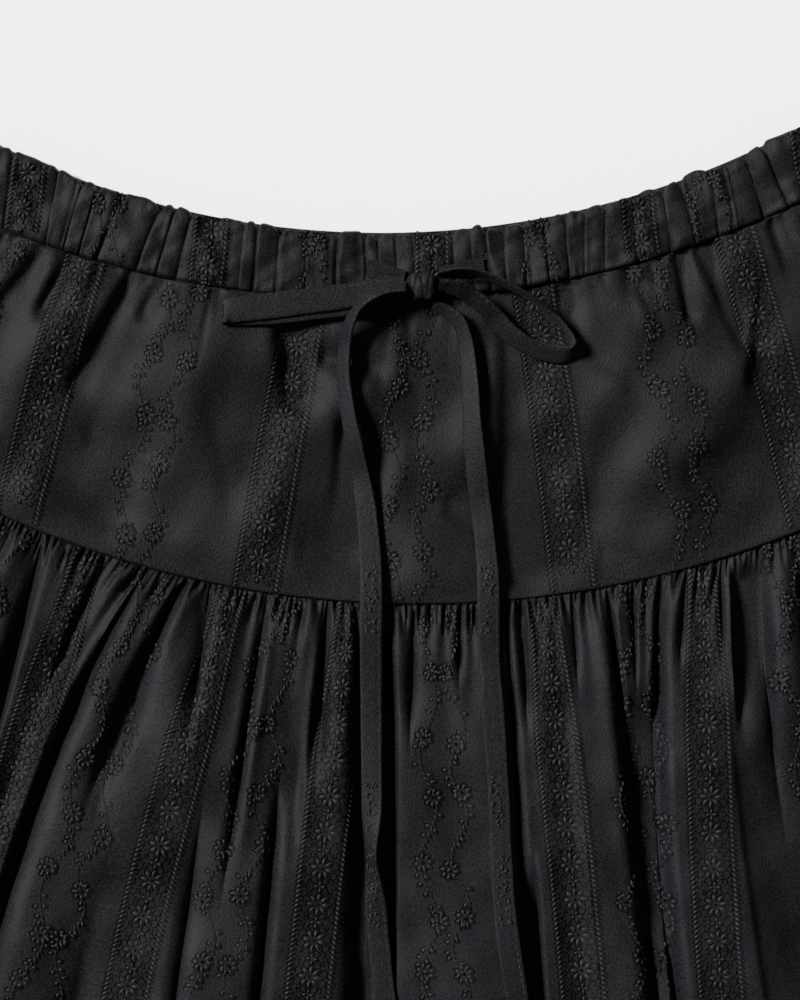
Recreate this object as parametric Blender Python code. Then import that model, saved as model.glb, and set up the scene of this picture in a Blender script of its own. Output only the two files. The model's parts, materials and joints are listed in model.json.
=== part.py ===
"""A tiered cotton skirt with an elastic waist and a drawstring bow, laid flat with its front up.

Run with: blender --background --python part.py
The skirt lies in the XY plane, waist towards +Y, hem towards -Y, front up. Sizes in the tables
are millimetres in the skirt's own plan, whose zero is the middle of the waist's top edge.
"""

import math
from collections import namedtuple

import bpy
import numpy as np
from mathutils import Vector
from mathutils.bvhtree import BVHTree

MM = 0.001

# Walls and gaps
CLOTH = 1.2
CASING = 3.0
GAP = 0.3
FRONT_REST = CLOTH + GAP
BAND_REST = CASING + GAP

# Rings of the laid skirt: how far down the centre lies, half its width along the curve,
# the curve's radius, and how far it turns at the centre, in radians.
Ring = namedtuple("Ring", "down half radius turn")
WAIST_TOP = Ring(-0.8, 185.0, 353.0, 0.055)
WAIST_SEAM = Ring(26.0, 187.0, 401.0, 0.0588)
YOKE_SEAM = Ring(149.0, 236.0, 410.0, 0.010)
HEM = Ring(413.0, 340.0, 600.0, 0.0)
TIER_MIDDLE = 0.5

# Gathers of the waistband: place along the top edge, place along the seam, depth.
Pucker = namedtuple("Pucker", "top foot depth")
PUCKERS = (
    Pucker(-176, -180, 0.9), Pucker(-167, -171, 0.7), Pucker(-149, -154, 0.6),
    Pucker(-139, -147, 0.9), Pucker(-133, -141, 1.0), Pucker(-123, -134, 0.8),
    Pucker(-108, -118, 1.0), Pucker(-102, -110, 0.9), Pucker(-95, -102, 0.6),
    Pucker(-86, -89, 0.5), Pucker(-74, -77, 0.5), Pucker(-69, -71, 0.8),
    Pucker(-60, -62, 1.2), Pucker(-49, -50, 0.5), Pucker(-37, -38, 0.5),
    Pucker(-26, -26, 0.9), Pucker(-21, -20, 0.7), Pucker(-14, -13, 0.8),
    Pucker(-7, -6, 0.7), Pucker(1, 1, 0.5), Pucker(9, 10, 0.7), Pucker(16, 18, 0.5),
    Pucker(22, 25, 1.1), Pucker(29, 31, 1.2), Pucker(37, 39, 0.5), Pucker(45, 48, 0.8),
    Pucker(54, 56, 1.2), Pucker(62, 62, 0.5), Pucker(70, 70, 0.6), Pucker(81, 83, 0.5),
    Pucker(93, 97, 1.0), Pucker(100, 107, 1.2), Pucker(112, 116, 0.7),
    Pucker(119, 124, 0.5), Pucker(126, 134, 0.9), Pucker(133, 144, 1.1),
    Pucker(148, 154, 0.8), Pucker(157, 162, 0.6), Pucker(166, 171, 0.9),
)
PUCKER_WIDTH = 2.2
BAND_PUFF = 1.2
BAND_EDGE = 0.16

# Soft creases of the yoke: from, to, half width and depth.
Crease = namedtuple("Crease", "x0 y0 x1 y1 width depth")
CREASES = (
    Crease(-144, -11, -156, -30, 3.5, 2.0), Crease(-118, -18, -144, -58, 4.0, 2.4),
    Crease(-109, -19, -115, -32, 4.0, 1.4), Crease(-58, -38, -55, -68, 7.0, 2.2),
    Crease(-37, -74, -38, -116, 4.5, 2.4), Crease(28, -38, 30, -144, 5.0, 2.8),
    Crease(55, -24, 55, -38, 2.5, 1.4), Crease(99, -12, 98, -22, 2.5, 1.4),
    Crease(108, -9, 124, -40, 4.0, 2.2), Crease(133, -24, 128, -56, 4.5, 1.8),
    Crease(137, 2, 145, -16, 3.5, 1.8), Crease(104, -96, 116, -90, 5.0, 1.2),
    Crease(70, -130, 88, -133, 6.0, 0.9), Crease(-50, -126, -34, -128, 5.0, 1.1),
    Crease(-136, -82, -112, -90, 5.0, 1.0), Crease(-176, -6, -190, -36, 4.0, 2.0),
    Crease(160, 6, 178, -30, 4.5, 2.0), Crease(-186, -70, -206, -88, 5.0, 1.4),
    Crease(176, -62, 200, -80, 5.0, 1.4),
)
YOKE_DOWN = (0.0, 0.12, 0.5, 1.0)
YOKE_LOFT = (2.6, 3.6, 4.4, 4.0)

# Folds of the gathered tier: place at the yoke seam, place halfway down, width of the
# slope on each side, depth as a share of the loft, and where down the tier the fold
# starts, is deepest and has faded.
Fold = namedtuple("Fold", "seam middle left right depth start full end")
FOLDS = (
    Fold(-212, -262, 6, 6, 0.80, 0, 8, 260), Fold(-196, -246, 5, 8, 0.60, 0, 6, 70),
    Fold(-180, -229, 8, 6, 0.95, 0, 8, 400), Fold(-164, -212, 6, 5, 0.60, 0, 5, 45),
    Fold(-152, -196, 9, 6, 0.92, 0, 8, 400), Fold(-112, -171, 14, 5, 0.96, 6, 26, 210),
    Fold(-98, -158, 5, 9, 0.92, 0, 6, 120), Fold(-93, -132, 12, 12, 0.40, 130, 200, 400),
    Fold(-88, -106, 4, 6, 0.55, 0, 6, 65), Fold(-76, -97, 9, 9, 0.30, 96, 140, 400),
    Fold(-65, -79, 7, 5, 0.80, 0, 8, 120), Fold(-52, -65, 8, 8, 0.70, 78, 112, 400),
    Fold(-40, -56, 8, 4, 0.94, 0, 5, 80), Fold(-30, -26, 5, 4, 0.97, 0, 5, 400),
    Fold(-18, -15, 4, 5, 0.97, 0, 5, 400), Fold(-3, -9, 8, 4, 0.60, 0, 6, 42),
    Fold(12, 12, 5, 5, 0.60, 0, 5, 30), Fold(29, 38, 9, 4, 0.95, 0, 5, 400),
    Fold(36, 44, 3, 5, 0.45, 0, 5, 50), Fold(46, 56, 9, 9, 0.40, 170, 230, 400),
    Fold(55, 64, 6, 6, 0.40, 0, 6, 42),
    Fold(72, 90, 12, 4, 0.97, 0, 6, 400), Fold(81, 93, 3, 3, 0.50, 0, 5, 45),
    Fold(93, 96, 5, 8, 0.96, 0, 5, 400), Fold(103, 104, 4, 5, 0.60, 0, 5, 36),
    Fold(116, 124, 8, 6, 0.90, 0, 6, 80), Fold(131, 141, 7, 6, 0.60, 0, 6, 50),
    Fold(147, 165, 6, 8, 0.90, 0, 6, 400), Fold(163, 192, 6, 5, 0.60, 0, 6, 90),
    Fold(179, 220, 8, 6, 0.92, 0, 8, 400), Fold(195, 240, 5, 7, 0.60, 0, 6, 60),
    Fold(211, 258, 6, 6, 0.80, 0, 8, 230),
)

# Places where the cloth between two folds drops into the shadow of its neighbours.
Hollow = namedtuple("Hollow", "left right start full end sunk")
HOLLOWS = (
    Hollow(72, 93, 48, 72, 170, 0.92), Hollow(30, 36, 110, 134, 230, 0.80),
    Hollow(116, 152, 16, 60, 300, 0.38), Hollow(-132, -112, 2, 26, 60, 0.40),
    Hollow(-150, -128, 70, 110, 220, 0.25),
)
CREST_DOWN = (0.0, 6.0, 18.0, 60.0, 150.0, 264.0)
CREST_LOFT = (3.4, 5.6, 8.2, 11.0, 11.5, 10.5)
SIDE_ROLL = 8.0
FOLD_FADE = 0.55
HOLLOW_EDGE = 3.0

# How finely the walls are divided
BAND_ROWS = (0.0, 0.1, 0.5, 0.9, 1.0)
YOKE_ROWS = 8
YOKE_COLUMNS = 76
TIER_ROWS_DOWN = (0.0, 4.0, 11.0, 24.0, 45.0, 72.0, 104.0, 140.0, 180.0, 222.0, 264.0)
BACK_COLUMNS = 28
LEAST_COLUMN = 1.3

# Drawstring
TAPE_WIDTH = 8.6
TAPE_THICK = 1.5
TAPE_PINCH = 0.42
PINCH_RUN = 14.0
KNOT_CENTRE = (-3.2, -22.0)
KNOT_SIZE = (12.4, 13.6, 7.6)
TIE_LIFT = 0.35
Point = namedtuple("Point", "x y roll")
LEFT_LEAD = (Point(-10.0, -17.4, 0), Point(-17.5, -15.8, 0), Point(-25.2, -14.6, 0))
RIGHT_LEAD = (Point(3.6, -16.2, 0), Point(12.5, -14.8, 0), Point(21.6, -13.6, 0))
LEFT_TAIL = (
    Point(-10.0, -22.6, 24), Point(-17.5, -23.6, 40), Point(-25.0, -26.8, 50),
    Point(-30.6, -33.6, 52), Point(-33.6, -43.0, 50), Point(-34.6, -56.0, 46),
    Point(-32.0, -72.8, 44), Point(-28.2, -92.0, 38), Point(-25.2, -112.0, 22),
    Point(-23.6, -137.6, 8), Point(-23.6, -163.0, 4), Point(-23.4, -195.0, 4),
    Point(-23.2, -227.0, 8), Point(-23.4, -240.0, 34), Point(-23.4, -249.0, 44),
    Point(-22.6, -258.0, 30), Point(-21.6, -270.0, 8), Point(-19.8, -289.0, 0),
    Point(-17.6, -307.0, 0), Point(-14.6, -322.0, 0), Point(-11.4, -335.0, 0),
)
RIGHT_TAIL = (
    Point(1.4, -30.4, 24), Point(7.8, -33.4, 40), Point(12.8, -38.6, 46),
    Point(15.4, -53.0, 42), Point(17.0, -79.0, 34), Point(18.8, -97.6, 26),
    Point(21.4, -118.0, 18), Point(23.2, -138.8, 14), Point(23.6, -169.0, 8),
    Point(24.8, -187.0, 6), Point(27.4, -227.0, 4), Point(28.2, -249.0, 4),
    Point(30.2, -276.0, 2), Point(34.8, -306.0, 0), Point(38.6, -322.0, 0),
    Point(42.6, -337.0, 0),
)
LOOP_TOP = (
    Point(-10.0, -20.6, 0), Point(-20.0, -23.2, 0), Point(-36.0, -26.2, 0),
    Point(-62.0, -29.6, 0), Point(-81.0, -31.8, 0),
)
LOOP_UNDER = (
    Point(-81.0, -34.0, 0), Point(-62.0, -32.0, 0), Point(-36.0, -28.8, 0),
    Point(-20.0, -26.4, 0), Point(-10.0, -24.6, 0),
)
LOOP_FOLD = 2.4
LOOP_SPREAD = 1.15
RIGHT_LOOP = (
    Point(3.6, -17.6, 58), Point(11.0, -16.4, 66), Point(20.0, -17.6, 72),
    Point(35.6, -24.2, 76), Point(46.5, -30.0, 78), Point(54.5, -38.0, 82),
    Point(57.4, -44.8, 84), Point(54.0, -49.2, 70), Point(46.0, -48.8, 45),
    Point(35.6, -43.0, 32), Point(26.5, -32.4, 32), Point(19.0, -26.2, 38),
    Point(10.5, -23.0, 46), Point(3.6, -22.2, 50),
)
LOOP_NARROW = 0.86
LEAD_NARROW = 0.8

BLACK_COTTON = (0.021, 0.022, 0.025, 1.0)
COTTON_ROUGHNESS = 0.85


def between(upper, lower, t):
    """The ring that lies the share t of the way from one ring to the next."""
    return Ring(*(a + (b - a) * t for a, b in zip(upper, lower)))


def plan(ring, u):
    """X and Y of the share u (-1 to 1) along a ring's curve."""
    angle = ring.turn + u * ring.half / ring.radius
    x = ring.radius * (np.sin(angle) - np.sin(ring.turn))
    y = -ring.down + ring.radius * (np.cos(ring.turn) - np.cos(angle))
    return x, y


def share_at(ring, x):
    """The share along a ring where it crosses the given X: the inverse of plan."""
    angle = math.asin(x / ring.radius + math.sin(ring.turn))
    return (angle - ring.turn) * ring.radius / ring.half


def smooth(t):
    """0 below 0, 1 above 1 and a soft S between."""
    t = np.clip(t, 0.0, 1.0)
    return t * t * (3.0 - 2.0 * t)


def dip(distance, width):
    """A fold's two rounded slopes: 1 at its line, 0 from one width away."""
    t = np.clip(np.abs(distance) / width, 0.0, 1.0)
    return 1.0 - np.sqrt(1.0 - (1.0 - t) ** 2)


def side_roll(u, half, roll):
    """Rounds the wall down to the layer below within one roll of each side seam."""
    edge = (1.0 - np.abs(u)) * half
    return 1.0 - dip(edge, roll)


def tier_ring(down):
    """The tier's ring at a distance below the yoke seam."""
    return between(YOKE_SEAM, HEM, down / (HEM.down - YOKE_SEAM.down))


FOLD_TOPS = np.array([-1.0] + [share_at(YOKE_SEAM, f.seam) for f in FOLDS] + [1.0])
MIDDLE_RING = between(YOKE_SEAM, HEM, TIER_MIDDLE)
FOLD_MIDDLES = np.array([-1.0] + [share_at(MIDDLE_RING, f.middle) for f in FOLDS] + [1.0])


def drifted(u, down):
    """Folds fan out fast below the seam and more slowly further down."""
    t = down / ((HEM.down - YOKE_SEAM.down) * TIER_MIDDLE)
    along = (1.0 - np.exp(-2.0 * t)) / (1.0 - math.exp(-2.0))
    return u + (np.interp(u, FOLD_TOPS, FOLD_MIDDLES) - u) * along


def tier_loft(u, down):
    """Height of the tier's face: rolls between the folds, each with two rounded slopes."""
    loft = np.interp(down, CREST_DOWN, CREST_LOFT)
    place = u * YOKE_SEAM.half
    for fold, at in zip(FOLDS, FOLD_TOPS[1:-1] * YOKE_SEAM.half):
        width = np.where(place < at, fold.left, fold.right)
        fade = (fold.end - fold.full) * FOLD_FADE
        grown = smooth((down - fold.start) / max(fold.full - fold.start, 1.0))
        left = 1.0 - smooth((down - fold.end + fade) / fade)
        loft = loft * (1.0 - fold.depth * grown * left * dip(place - at, width))
    for hollow in HOLLOWS:
        low = share_at(YOKE_SEAM, hollow.left) * YOKE_SEAM.half
        high = share_at(YOKE_SEAM, hollow.right) * YOKE_SEAM.half
        across = smooth((place - low) / HOLLOW_EDGE) * smooth((high - place) / HOLLOW_EDGE)
        fade = (hollow.end - hollow.full) * FOLD_FADE
        grown = smooth((down - hollow.start) / (hollow.full - hollow.start))
        left = 1.0 - smooth((down - hollow.end + fade) / fade)
        loft = loft * (1.0 - hollow.sunk * across * grown * left)
    return loft * side_roll(u, YOKE_SEAM.half, SIDE_ROLL)


def yoke_loft(x, y, u, t):
    """Height of the yoke's face: a low swell less its creases, soft troughs along short lines."""
    loft = np.interp(t, YOKE_DOWN, YOKE_LOFT)
    for c in CREASES:
        run = np.array((c.x1 - c.x0, c.y1 - c.y0))
        along = ((x - c.x0) * run[0] + (y - c.y0) * run[1]) / (run @ run)
        held = np.clip(along, 0.0, 1.0)
        off = np.hypot(x - c.x0 - held * run[0], y - c.y0 - held * run[1])
        loft = loft - c.depth * np.exp(-((off / c.width) ** 2))
    return np.maximum(loft, 0.4) * side_roll(u, WAIST_SEAM.half, SIDE_ROLL)


PUCKER_TOPS = np.array([-1.0] + [share_at(WAIST_TOP, p.top) for p in PUCKERS] + [1.0])
PUCKER_FEET = np.array([-1.0] + [share_at(WAIST_SEAM, p.foot) for p in PUCKERS] + [1.0])


def band_loft(u, t):
    """Height of the casing's face: round long edges, and a groove at each gather."""
    round_edge = 1.0 - dip(np.minimum(t, 1.0 - t), BAND_EDGE)
    loft = BAND_PUFF * round_edge
    place = u * WAIST_TOP.half
    for pucker, at in zip(PUCKERS, PUCKER_TOPS[1:-1] * WAIST_TOP.half):
        loft = loft - pucker.depth * dip(place - at, PUCKER_WIDTH)
    return loft


def spread(centres, offsets, least):
    """Sorted places from -1 to 1: every centre, and the offset places that aren't crowded."""
    kept = [-1.0, *centres, 1.0]
    for place in sorted(c + o for c, near in zip(centres, offsets) for o in near):
        if abs(place) < 1.0 and min(abs(place - k) for k in kept) > least:
            kept.append(place)
    kept.sort()
    wide = [(a + b) / 2 for a, b in zip(kept, kept[1:]) if b - a > 9 * least]
    return np.array(sorted(kept + wide))


def wall(outer, inner):
    """Closes an outer and an inner grid of points (rows, columns, 3) into one solid wall."""
    rows, columns = outer.shape[:2]
    points = np.concatenate([outer.reshape(-1, 3), inner.reshape(-1, 3)])
    under = rows * columns
    faces = []
    for r in range(rows - 1):
        for c in range(columns - 1):
            a = r * columns + c
            faces.append((a, a + columns, a + columns + 1, a + 1))
            faces.append((under + a, under + a + 1, under + a + columns + 1, under + a + columns))
    last = (rows - 1) * columns
    for c in range(columns - 1):
        faces.append((c, c + 1, under + c + 1, under + c))
        faces.append((last + c + 1, last + c, under + last + c, under + last + c + 1))
    for r in range(rows - 1):
        a = r * columns
        b = a + columns - 1
        faces.append((a + columns, a, under + a, under + a + columns))
        faces.append((b, b + columns, under + b + columns, under + b))
    return points, faces


def thickened(outer, thickness, rest):
    """The inner side of a wall: each point moved in along the face's normal, never below rest."""
    down = np.gradient(outer, axis=0)
    across = np.gradient(outer, axis=1)
    normal = np.cross(down, across)
    normal /= np.linalg.norm(normal, axis=2, keepdims=True)
    normal[0] = normal[-1] = (0.0, 0.0, 1.0)
    normal[:, 0] = normal[:, -1] = (0.0, 0.0, 1.0)
    inner = outer - thickness * normal
    inner[..., 2] = np.maximum(inner[..., 2], rest)
    return inner


def grid_points(x, y, z):
    return np.stack([x, y, z], axis=2)


def tier_front():
    """The gathered front of the tier, a folded wall that starts just under the yoke seam."""
    centres = FOLD_TOPS[1:-1]
    offsets = [
        [side * part * width / YOKE_SEAM.half for side, width in ((-1, f.left), (1, f.right)) for part in (0.3, 1.0)]
        for f in FOLDS
    ]
    u = spread(centres, offsets, LEAST_COLUMN / YOKE_SEAM.half)[None, :]
    down = np.array(TIER_ROWS_DOWN)[:, None]
    ring = tier_ring(down)
    x, y = plan(ring, drifted(u, down))
    y = y - GAP * (down == 0.0)
    outer = grid_points(x, y, FRONT_REST + CLOTH + tier_loft(u, down))
    return wall(outer, thickened(outer, CLOTH, FRONT_REST))


def yoke_front():
    """The front of the yoke, a soft wall between the two seams."""
    u = np.linspace(-1.0, 1.0, YOKE_COLUMNS)[None, :]
    t = np.linspace(0.0, 1.0, YOKE_ROWS)[:, None]
    x, y = plan(between(WAIST_SEAM, YOKE_SEAM, t), u)
    outer = grid_points(x, y, FRONT_REST + CLOTH + yoke_loft(x, y, u, t))
    outer[0, :, 1] -= GAP
    return wall(outer, thickened(outer, CLOTH, FRONT_REST))


def waistband_front():
    """The gathered casing across the front, with its elastic inside."""
    near = [(-PUCKER_WIDTH / WAIST_TOP.half, PUCKER_WIDTH / WAIST_TOP.half)] * len(PUCKERS)
    u = spread(PUCKER_TOPS[1:-1], near, LEAST_COLUMN / WAIST_TOP.half)[None, :]
    t = np.array(BAND_ROWS)[:, None]
    foot = np.interp(u, PUCKER_TOPS, PUCKER_FEET)
    x, y = plan(between(WAIST_TOP, WAIST_SEAM, t), u + (foot - u) * t)
    face = BAND_REST + CASING - BAND_PUFF / 2 + band_loft(u, t) + 0 * x
    outer = grid_points(x, y, face)
    inner = grid_points(x, y, np.full_like(x, BAND_REST))
    return wall(outer, inner)


def flat_panel(upper, lower, thickness, rows):
    """A back panel pressed flat by the skirt's own weight, from ring to ring."""
    u = np.linspace(-1.0, 1.0, BACK_COLUMNS)[None, :]
    t = np.linspace(0.0, 1.0, rows)[:, None]
    x, y = plan(between(upper, lower, t), u)
    outer = grid_points(x, y, np.full_like(x, thickness))
    outer[0, :, 1] -= GAP * (upper is not WAIST_TOP)
    inner = outer * (1.0, 1.0, 0.0)
    return wall(outer, inner)


def curve_through(points, steps):
    """A smooth curve through hand-placed points (Catmull-Rom), with steps to each span."""
    p = np.array(points, float)
    p = np.concatenate([2 * p[:1] - p[1:2], p, 2 * p[-1:] - p[-2:-1]])
    t = np.linspace(0.0, 1.0, steps, endpoint=False)[:, None]
    spans = [
        0.5 * (2 * b + (c - a) * t + (2 * a - 5 * b + 4 * c - d) * t**2 + (3 * b - a - 3 * c + d) * t**3)
        for a, b, c, d in zip(p, p[1:], p[2:], p[3:])
    ]
    return np.concatenate([*spans, p[-2:-1]])


def unit(v):
    return v / np.linalg.norm(v, axis=-1, keepdims=True)


def pinched(path, at_end):
    """The tape's width along its line, as a share: drawn in where it enters the knot."""
    step = np.linalg.norm(np.diff(path, axis=0), axis=1)
    run = np.concatenate([[0.0], np.cumsum(step)])
    drawn = 1.0 - smooth(run / PINCH_RUN)
    if at_end:
        drawn = np.maximum(drawn, 1.0 - smooth((run[-1] - run) / PINCH_RUN))
    return (1.0 - TAPE_PINCH * drawn)[:, None]


def tape(path, across, width, at_end=False):
    """A flat tape along a path: a six-sided section whose wide way points along across."""
    along = unit(np.gradient(path, axis=0))
    wide = unit(across - (across * along).sum(1, keepdims=True) * along)
    up = np.cross(wide, along)
    half = width / 2 * pinched(path, at_end)
    thin = edge = TAPE_THICK / 2
    section = (
        (-half, 0.0), (-half + edge, -thin), (half - edge, -thin),
        (half, 0.0), (half - edge, thin), (-half + edge, thin),
    )
    rings = [path + a * wide + b * up for a, b in section]
    sides = len(section)
    points = np.stack(rings, axis=1).reshape(-1, 3)
    faces = [tuple(range(sides)), tuple(reversed(range(len(points) - sides, len(points))))]
    for k in range(len(path) - 1):
        for s in range(sides):
            a, b = k * sides + s, k * sides + (s + 1) % sides
            faces.append((b, a, a + sides, b + sides))
    return points, faces


def top_of(solids):
    """A function that gives the highest surface of these solids under a point."""
    points, faces = [], []
    for own_points, own_faces in solids:
        start = len(points)
        points.extend(Vector(p) for p in own_points)
        faces.extend(tuple(start + i for i in f) for f in own_faces)
    tree = BVHTree.FromPolygons(points, faces)

    def height(x, y):
        hit = tree.ray_cast(Vector((x, y, 100.0)), Vector((0.0, 0.0, -1.0)))[0]
        return 0.0 if hit is None else hit.z

    return height


def laid(points, height, steps):
    """Lays a tape's line on what is under it: its path, and the way its width points.

    The roll turns the tape about its line, from 0, flat, to 90 degrees, on its edge.
    """
    line = curve_through(points, steps)
    x, y, roll = line[:, 0], line[:, 1], np.radians(line[:, 2])
    run = unit(np.gradient(line[:, :2], axis=0))
    side = np.stack([-run[:, 1], run[:, 0]], axis=1)
    reach = TAPE_WIDTH / 2 * np.cos(roll) + TIE_LIFT
    ground = np.array([
        max(height(a + s * r * n[0], b + s * r * n[1]) for s in (-1.0, -0.5, 0.0, 0.5, 1.0))
        for a, b, r, n in zip(x, y, reach, side)
    ])
    ground = np.maximum(ground, np.maximum(np.roll(ground, 1), np.roll(ground, -1)))
    ground = np.convolve(np.pad(ground, 1, mode="edge"), (0.25, 0.5, 0.25), mode="valid")
    z = ground + TIE_LIFT + TAPE_THICK / 2 * np.cos(roll) + TAPE_WIDTH / 2 * np.sin(roll)
    path = np.stack([x, y, z], axis=1)
    across = np.stack([side[:, 0] * np.cos(roll), side[:, 1] * np.cos(roll), np.sin(roll)], axis=1)
    return path, across


def lead(points, height):
    """The short stretch of tape from the casing to the knot."""
    path, across = laid(points, height, 3)
    return tape(path, across, TAPE_WIDTH * LEAD_NARROW)


def tail(points, height):
    """A free end of the drawstring, down over the yoke and the tier."""
    path, across = laid(points, height, 3)
    return tape(path, across, TAPE_WIDTH)


def flat_loop(height):
    """The left loop: out flat, folded over at its end and back underneath."""
    under, across_under = laid(LOOP_UNDER, height, 3)
    over, _ = laid(LOOP_TOP, height, 3)
    under[:, 2] = under[:, 2].max()
    over[:, 2] = under[0, 2] + LOOP_FOLD
    turn = np.array([[over[-1, 0] - LOOP_FOLD / 2, (over[-1, 1] + under[0, 1]) / 2, under[0, 2] + LOOP_FOLD / 2]])
    path = np.concatenate([over, turn, under])
    across = np.tile((0.0, 1.0, 0.0), (len(path), 1))
    return tape(path, across, TAPE_WIDTH * LOOP_SPREAD, at_end=True)


def open_loop(height):
    """The right loop: the tape stands on its edge and rounds an open middle."""
    path, across = laid(RIGHT_LOOP, height, 3)
    return tape(path, across, TAPE_WIDTH * LOOP_NARROW, at_end=True)


def knot(height):
    """The wrapped knot: a rounded block with its corners drawn in."""
    around, rings = 12, 7
    angle = np.linspace(0.0, 2 * math.pi, around, endpoint=False)[None, :]
    rise = np.linspace(-math.pi / 2, math.pi / 2, rings)[1:-1, None]
    squared = 0.6
    circle = np.sign(np.cos(angle)) * np.abs(np.cos(angle)) ** squared
    other = np.sign(np.sin(angle)) * np.abs(np.sin(angle)) ** squared
    ring = np.cos(rise) ** squared
    base = height(*KNOT_CENTRE) + TIE_LIFT + KNOT_SIZE[2] / 2
    x = KNOT_CENTRE[0] + KNOT_SIZE[0] / 2 * ring * circle
    y = KNOT_CENTRE[1] + KNOT_SIZE[1] / 2 * ring * other
    z = base + KNOT_SIZE[2] / 2 * np.sign(np.sin(rise)) * np.abs(np.sin(rise)) ** squared + 0 * x
    points = grid_points(x, y, z).reshape(-1, 3)
    low, high = (*KNOT_CENTRE, base - KNOT_SIZE[2] / 2), (*KNOT_CENTRE, base + KNOT_SIZE[2] / 2)
    points = np.concatenate([points, [low, high]])
    bottom, top = len(points) - 2, len(points) - 1
    last = (rings - 3) * around
    faces = []
    for s in range(around):
        n = (s + 1) % around
        faces.append((bottom, n, s))
        faces.append((top, last + s, last + n))
        for r in range(rings - 3):
            a, b = r * around + s, r * around + n
            faces.append((a, b, b + around, a + around))
    return points, faces


def cotton(name):
    """The pieces' black cotton."""
    material = bpy.data.materials.new(name + "_cotton")
    material.use_nodes = True
    shader = material.node_tree.nodes["Principled BSDF"]
    shader.inputs["Base Color"].default_value = BLACK_COTTON
    shader.inputs["Roughness"].default_value = COTTON_ROUGHNESS
    return material


def add_piece(name, points, faces, middle):
    """Makes one named object, in metres, with the skirt's middle on the origin."""
    mesh = bpy.data.meshes.new(name)
    placed = (points - (0.0, middle, 0.0)) * MM
    mesh.from_pydata(placed.tolist(), [], faces)
    mesh.shade_smooth()
    mesh.set_sharp_from_angle(angle=math.radians(50))
    mesh.materials.append(cotton(name))
    piece = bpy.data.objects.new(name, mesh)
    bpy.context.scene.collection.objects.link(piece)


def clear_scene():
    for old in list(bpy.data.objects):
        bpy.data.objects.remove(old)


def main():
    clear_scene()
    pieces = {
        "waistband_back": flat_panel(WAIST_TOP, WAIST_SEAM, CASING, 2),
        "yoke_back": flat_panel(WAIST_SEAM, YOKE_SEAM, CLOTH, 5),
        "tier_back": flat_panel(YOKE_SEAM, HEM, CLOTH, 9),
        "waistband_front": waistband_front(),
        "yoke_front": yoke_front(),
        "tier_front": tier_front(),
    }
    top = np.concatenate([points for points, _ in pieces.values()])
    middle = (top[:, 1].min() + top[:, 1].max()) / 2
    cloth_top = top_of(pieces.values())
    pieces["lead_left"] = lead(LEFT_LEAD, cloth_top)
    pieces["lead_right"] = lead(RIGHT_LEAD, cloth_top)
    on_leads = top_of(pieces.values())
    pieces["loop_left"] = flat_loop(on_leads)
    on_loop = top_of(pieces.values())
    pieces["tail_left"] = tail(LEFT_TAIL, on_loop)
    pieces["tail_right"] = tail(RIGHT_TAIL, on_loop)
    pieces["loop_right"] = open_loop(top_of(pieces.values()))
    pieces["bow_knot"] = knot(cloth_top)
    for name, (points, faces) in pieces.items():
        add_piece(name, points, faces, middle)


main()
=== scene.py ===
"""A black embroidered cotton skirt, laid flat with its front up and its drawstring in a bow.

Every piece is worked out in the skirt's own plan, in millimetres: zero is the middle of the
waist's top edge, +X runs to the right, +Y towards the waist and +Z out of the front.
"""

import json
import logging
import math
from collections.abc import Sequence
from dataclasses import dataclass, field
from enum import Enum

import bpy
import numpy as np
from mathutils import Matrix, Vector

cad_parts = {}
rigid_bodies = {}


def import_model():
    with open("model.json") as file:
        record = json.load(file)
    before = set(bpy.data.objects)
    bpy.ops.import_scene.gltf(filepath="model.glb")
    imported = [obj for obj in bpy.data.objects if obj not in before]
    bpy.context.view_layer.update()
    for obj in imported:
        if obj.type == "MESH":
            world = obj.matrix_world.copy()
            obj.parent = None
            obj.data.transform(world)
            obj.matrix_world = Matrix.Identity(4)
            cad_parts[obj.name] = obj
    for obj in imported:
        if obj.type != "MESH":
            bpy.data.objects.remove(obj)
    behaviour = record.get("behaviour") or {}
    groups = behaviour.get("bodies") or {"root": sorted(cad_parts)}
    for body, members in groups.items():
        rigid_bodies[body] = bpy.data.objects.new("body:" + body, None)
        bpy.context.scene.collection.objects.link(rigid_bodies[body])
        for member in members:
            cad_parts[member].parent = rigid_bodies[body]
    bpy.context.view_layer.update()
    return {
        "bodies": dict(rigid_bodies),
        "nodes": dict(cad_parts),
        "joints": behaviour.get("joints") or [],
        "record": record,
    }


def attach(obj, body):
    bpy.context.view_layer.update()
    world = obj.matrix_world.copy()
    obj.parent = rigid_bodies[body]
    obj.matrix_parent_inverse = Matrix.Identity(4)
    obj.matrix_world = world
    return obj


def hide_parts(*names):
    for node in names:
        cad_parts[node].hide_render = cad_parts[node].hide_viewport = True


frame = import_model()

log = logging.getLogger("skirt")

MM = 0.001
BODY = "root"
CLOTH_UV = "cloth"

# Levels of the layers at rest
CLOTH_WALL = 1.2
CASING = 3.0
GAP = 0.3
FRONT_FACE = CLOTH_WALL + GAP + CLOTH_WALL
BAND_REST = CASING + GAP
COTTON = 0.5
STITCH_SINK = 0.2


def smooth(t: np.ndarray) -> np.ndarray:
    """0 below 0, 1 above 1 and a soft S between."""
    t = np.clip(t, 0.0, 1.0)
    return t * t * (3.0 - 2.0 * t)


def dip(distance: np.ndarray, width: np.ndarray) -> np.ndarray:
    """A fold's two quarter-round slopes: 1 at its line, 0 from one width away."""
    t = np.clip(np.abs(distance) / width, 0.0, 1.0)
    return 1.0 - np.sqrt(1.0 - (1.0 - t) ** 2)


def unit(vectors: np.ndarray) -> np.ndarray:
    """Each vector at length one."""
    return vectors / np.maximum(np.linalg.norm(vectors, axis=-1, keepdims=True), 1e-9)


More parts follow.
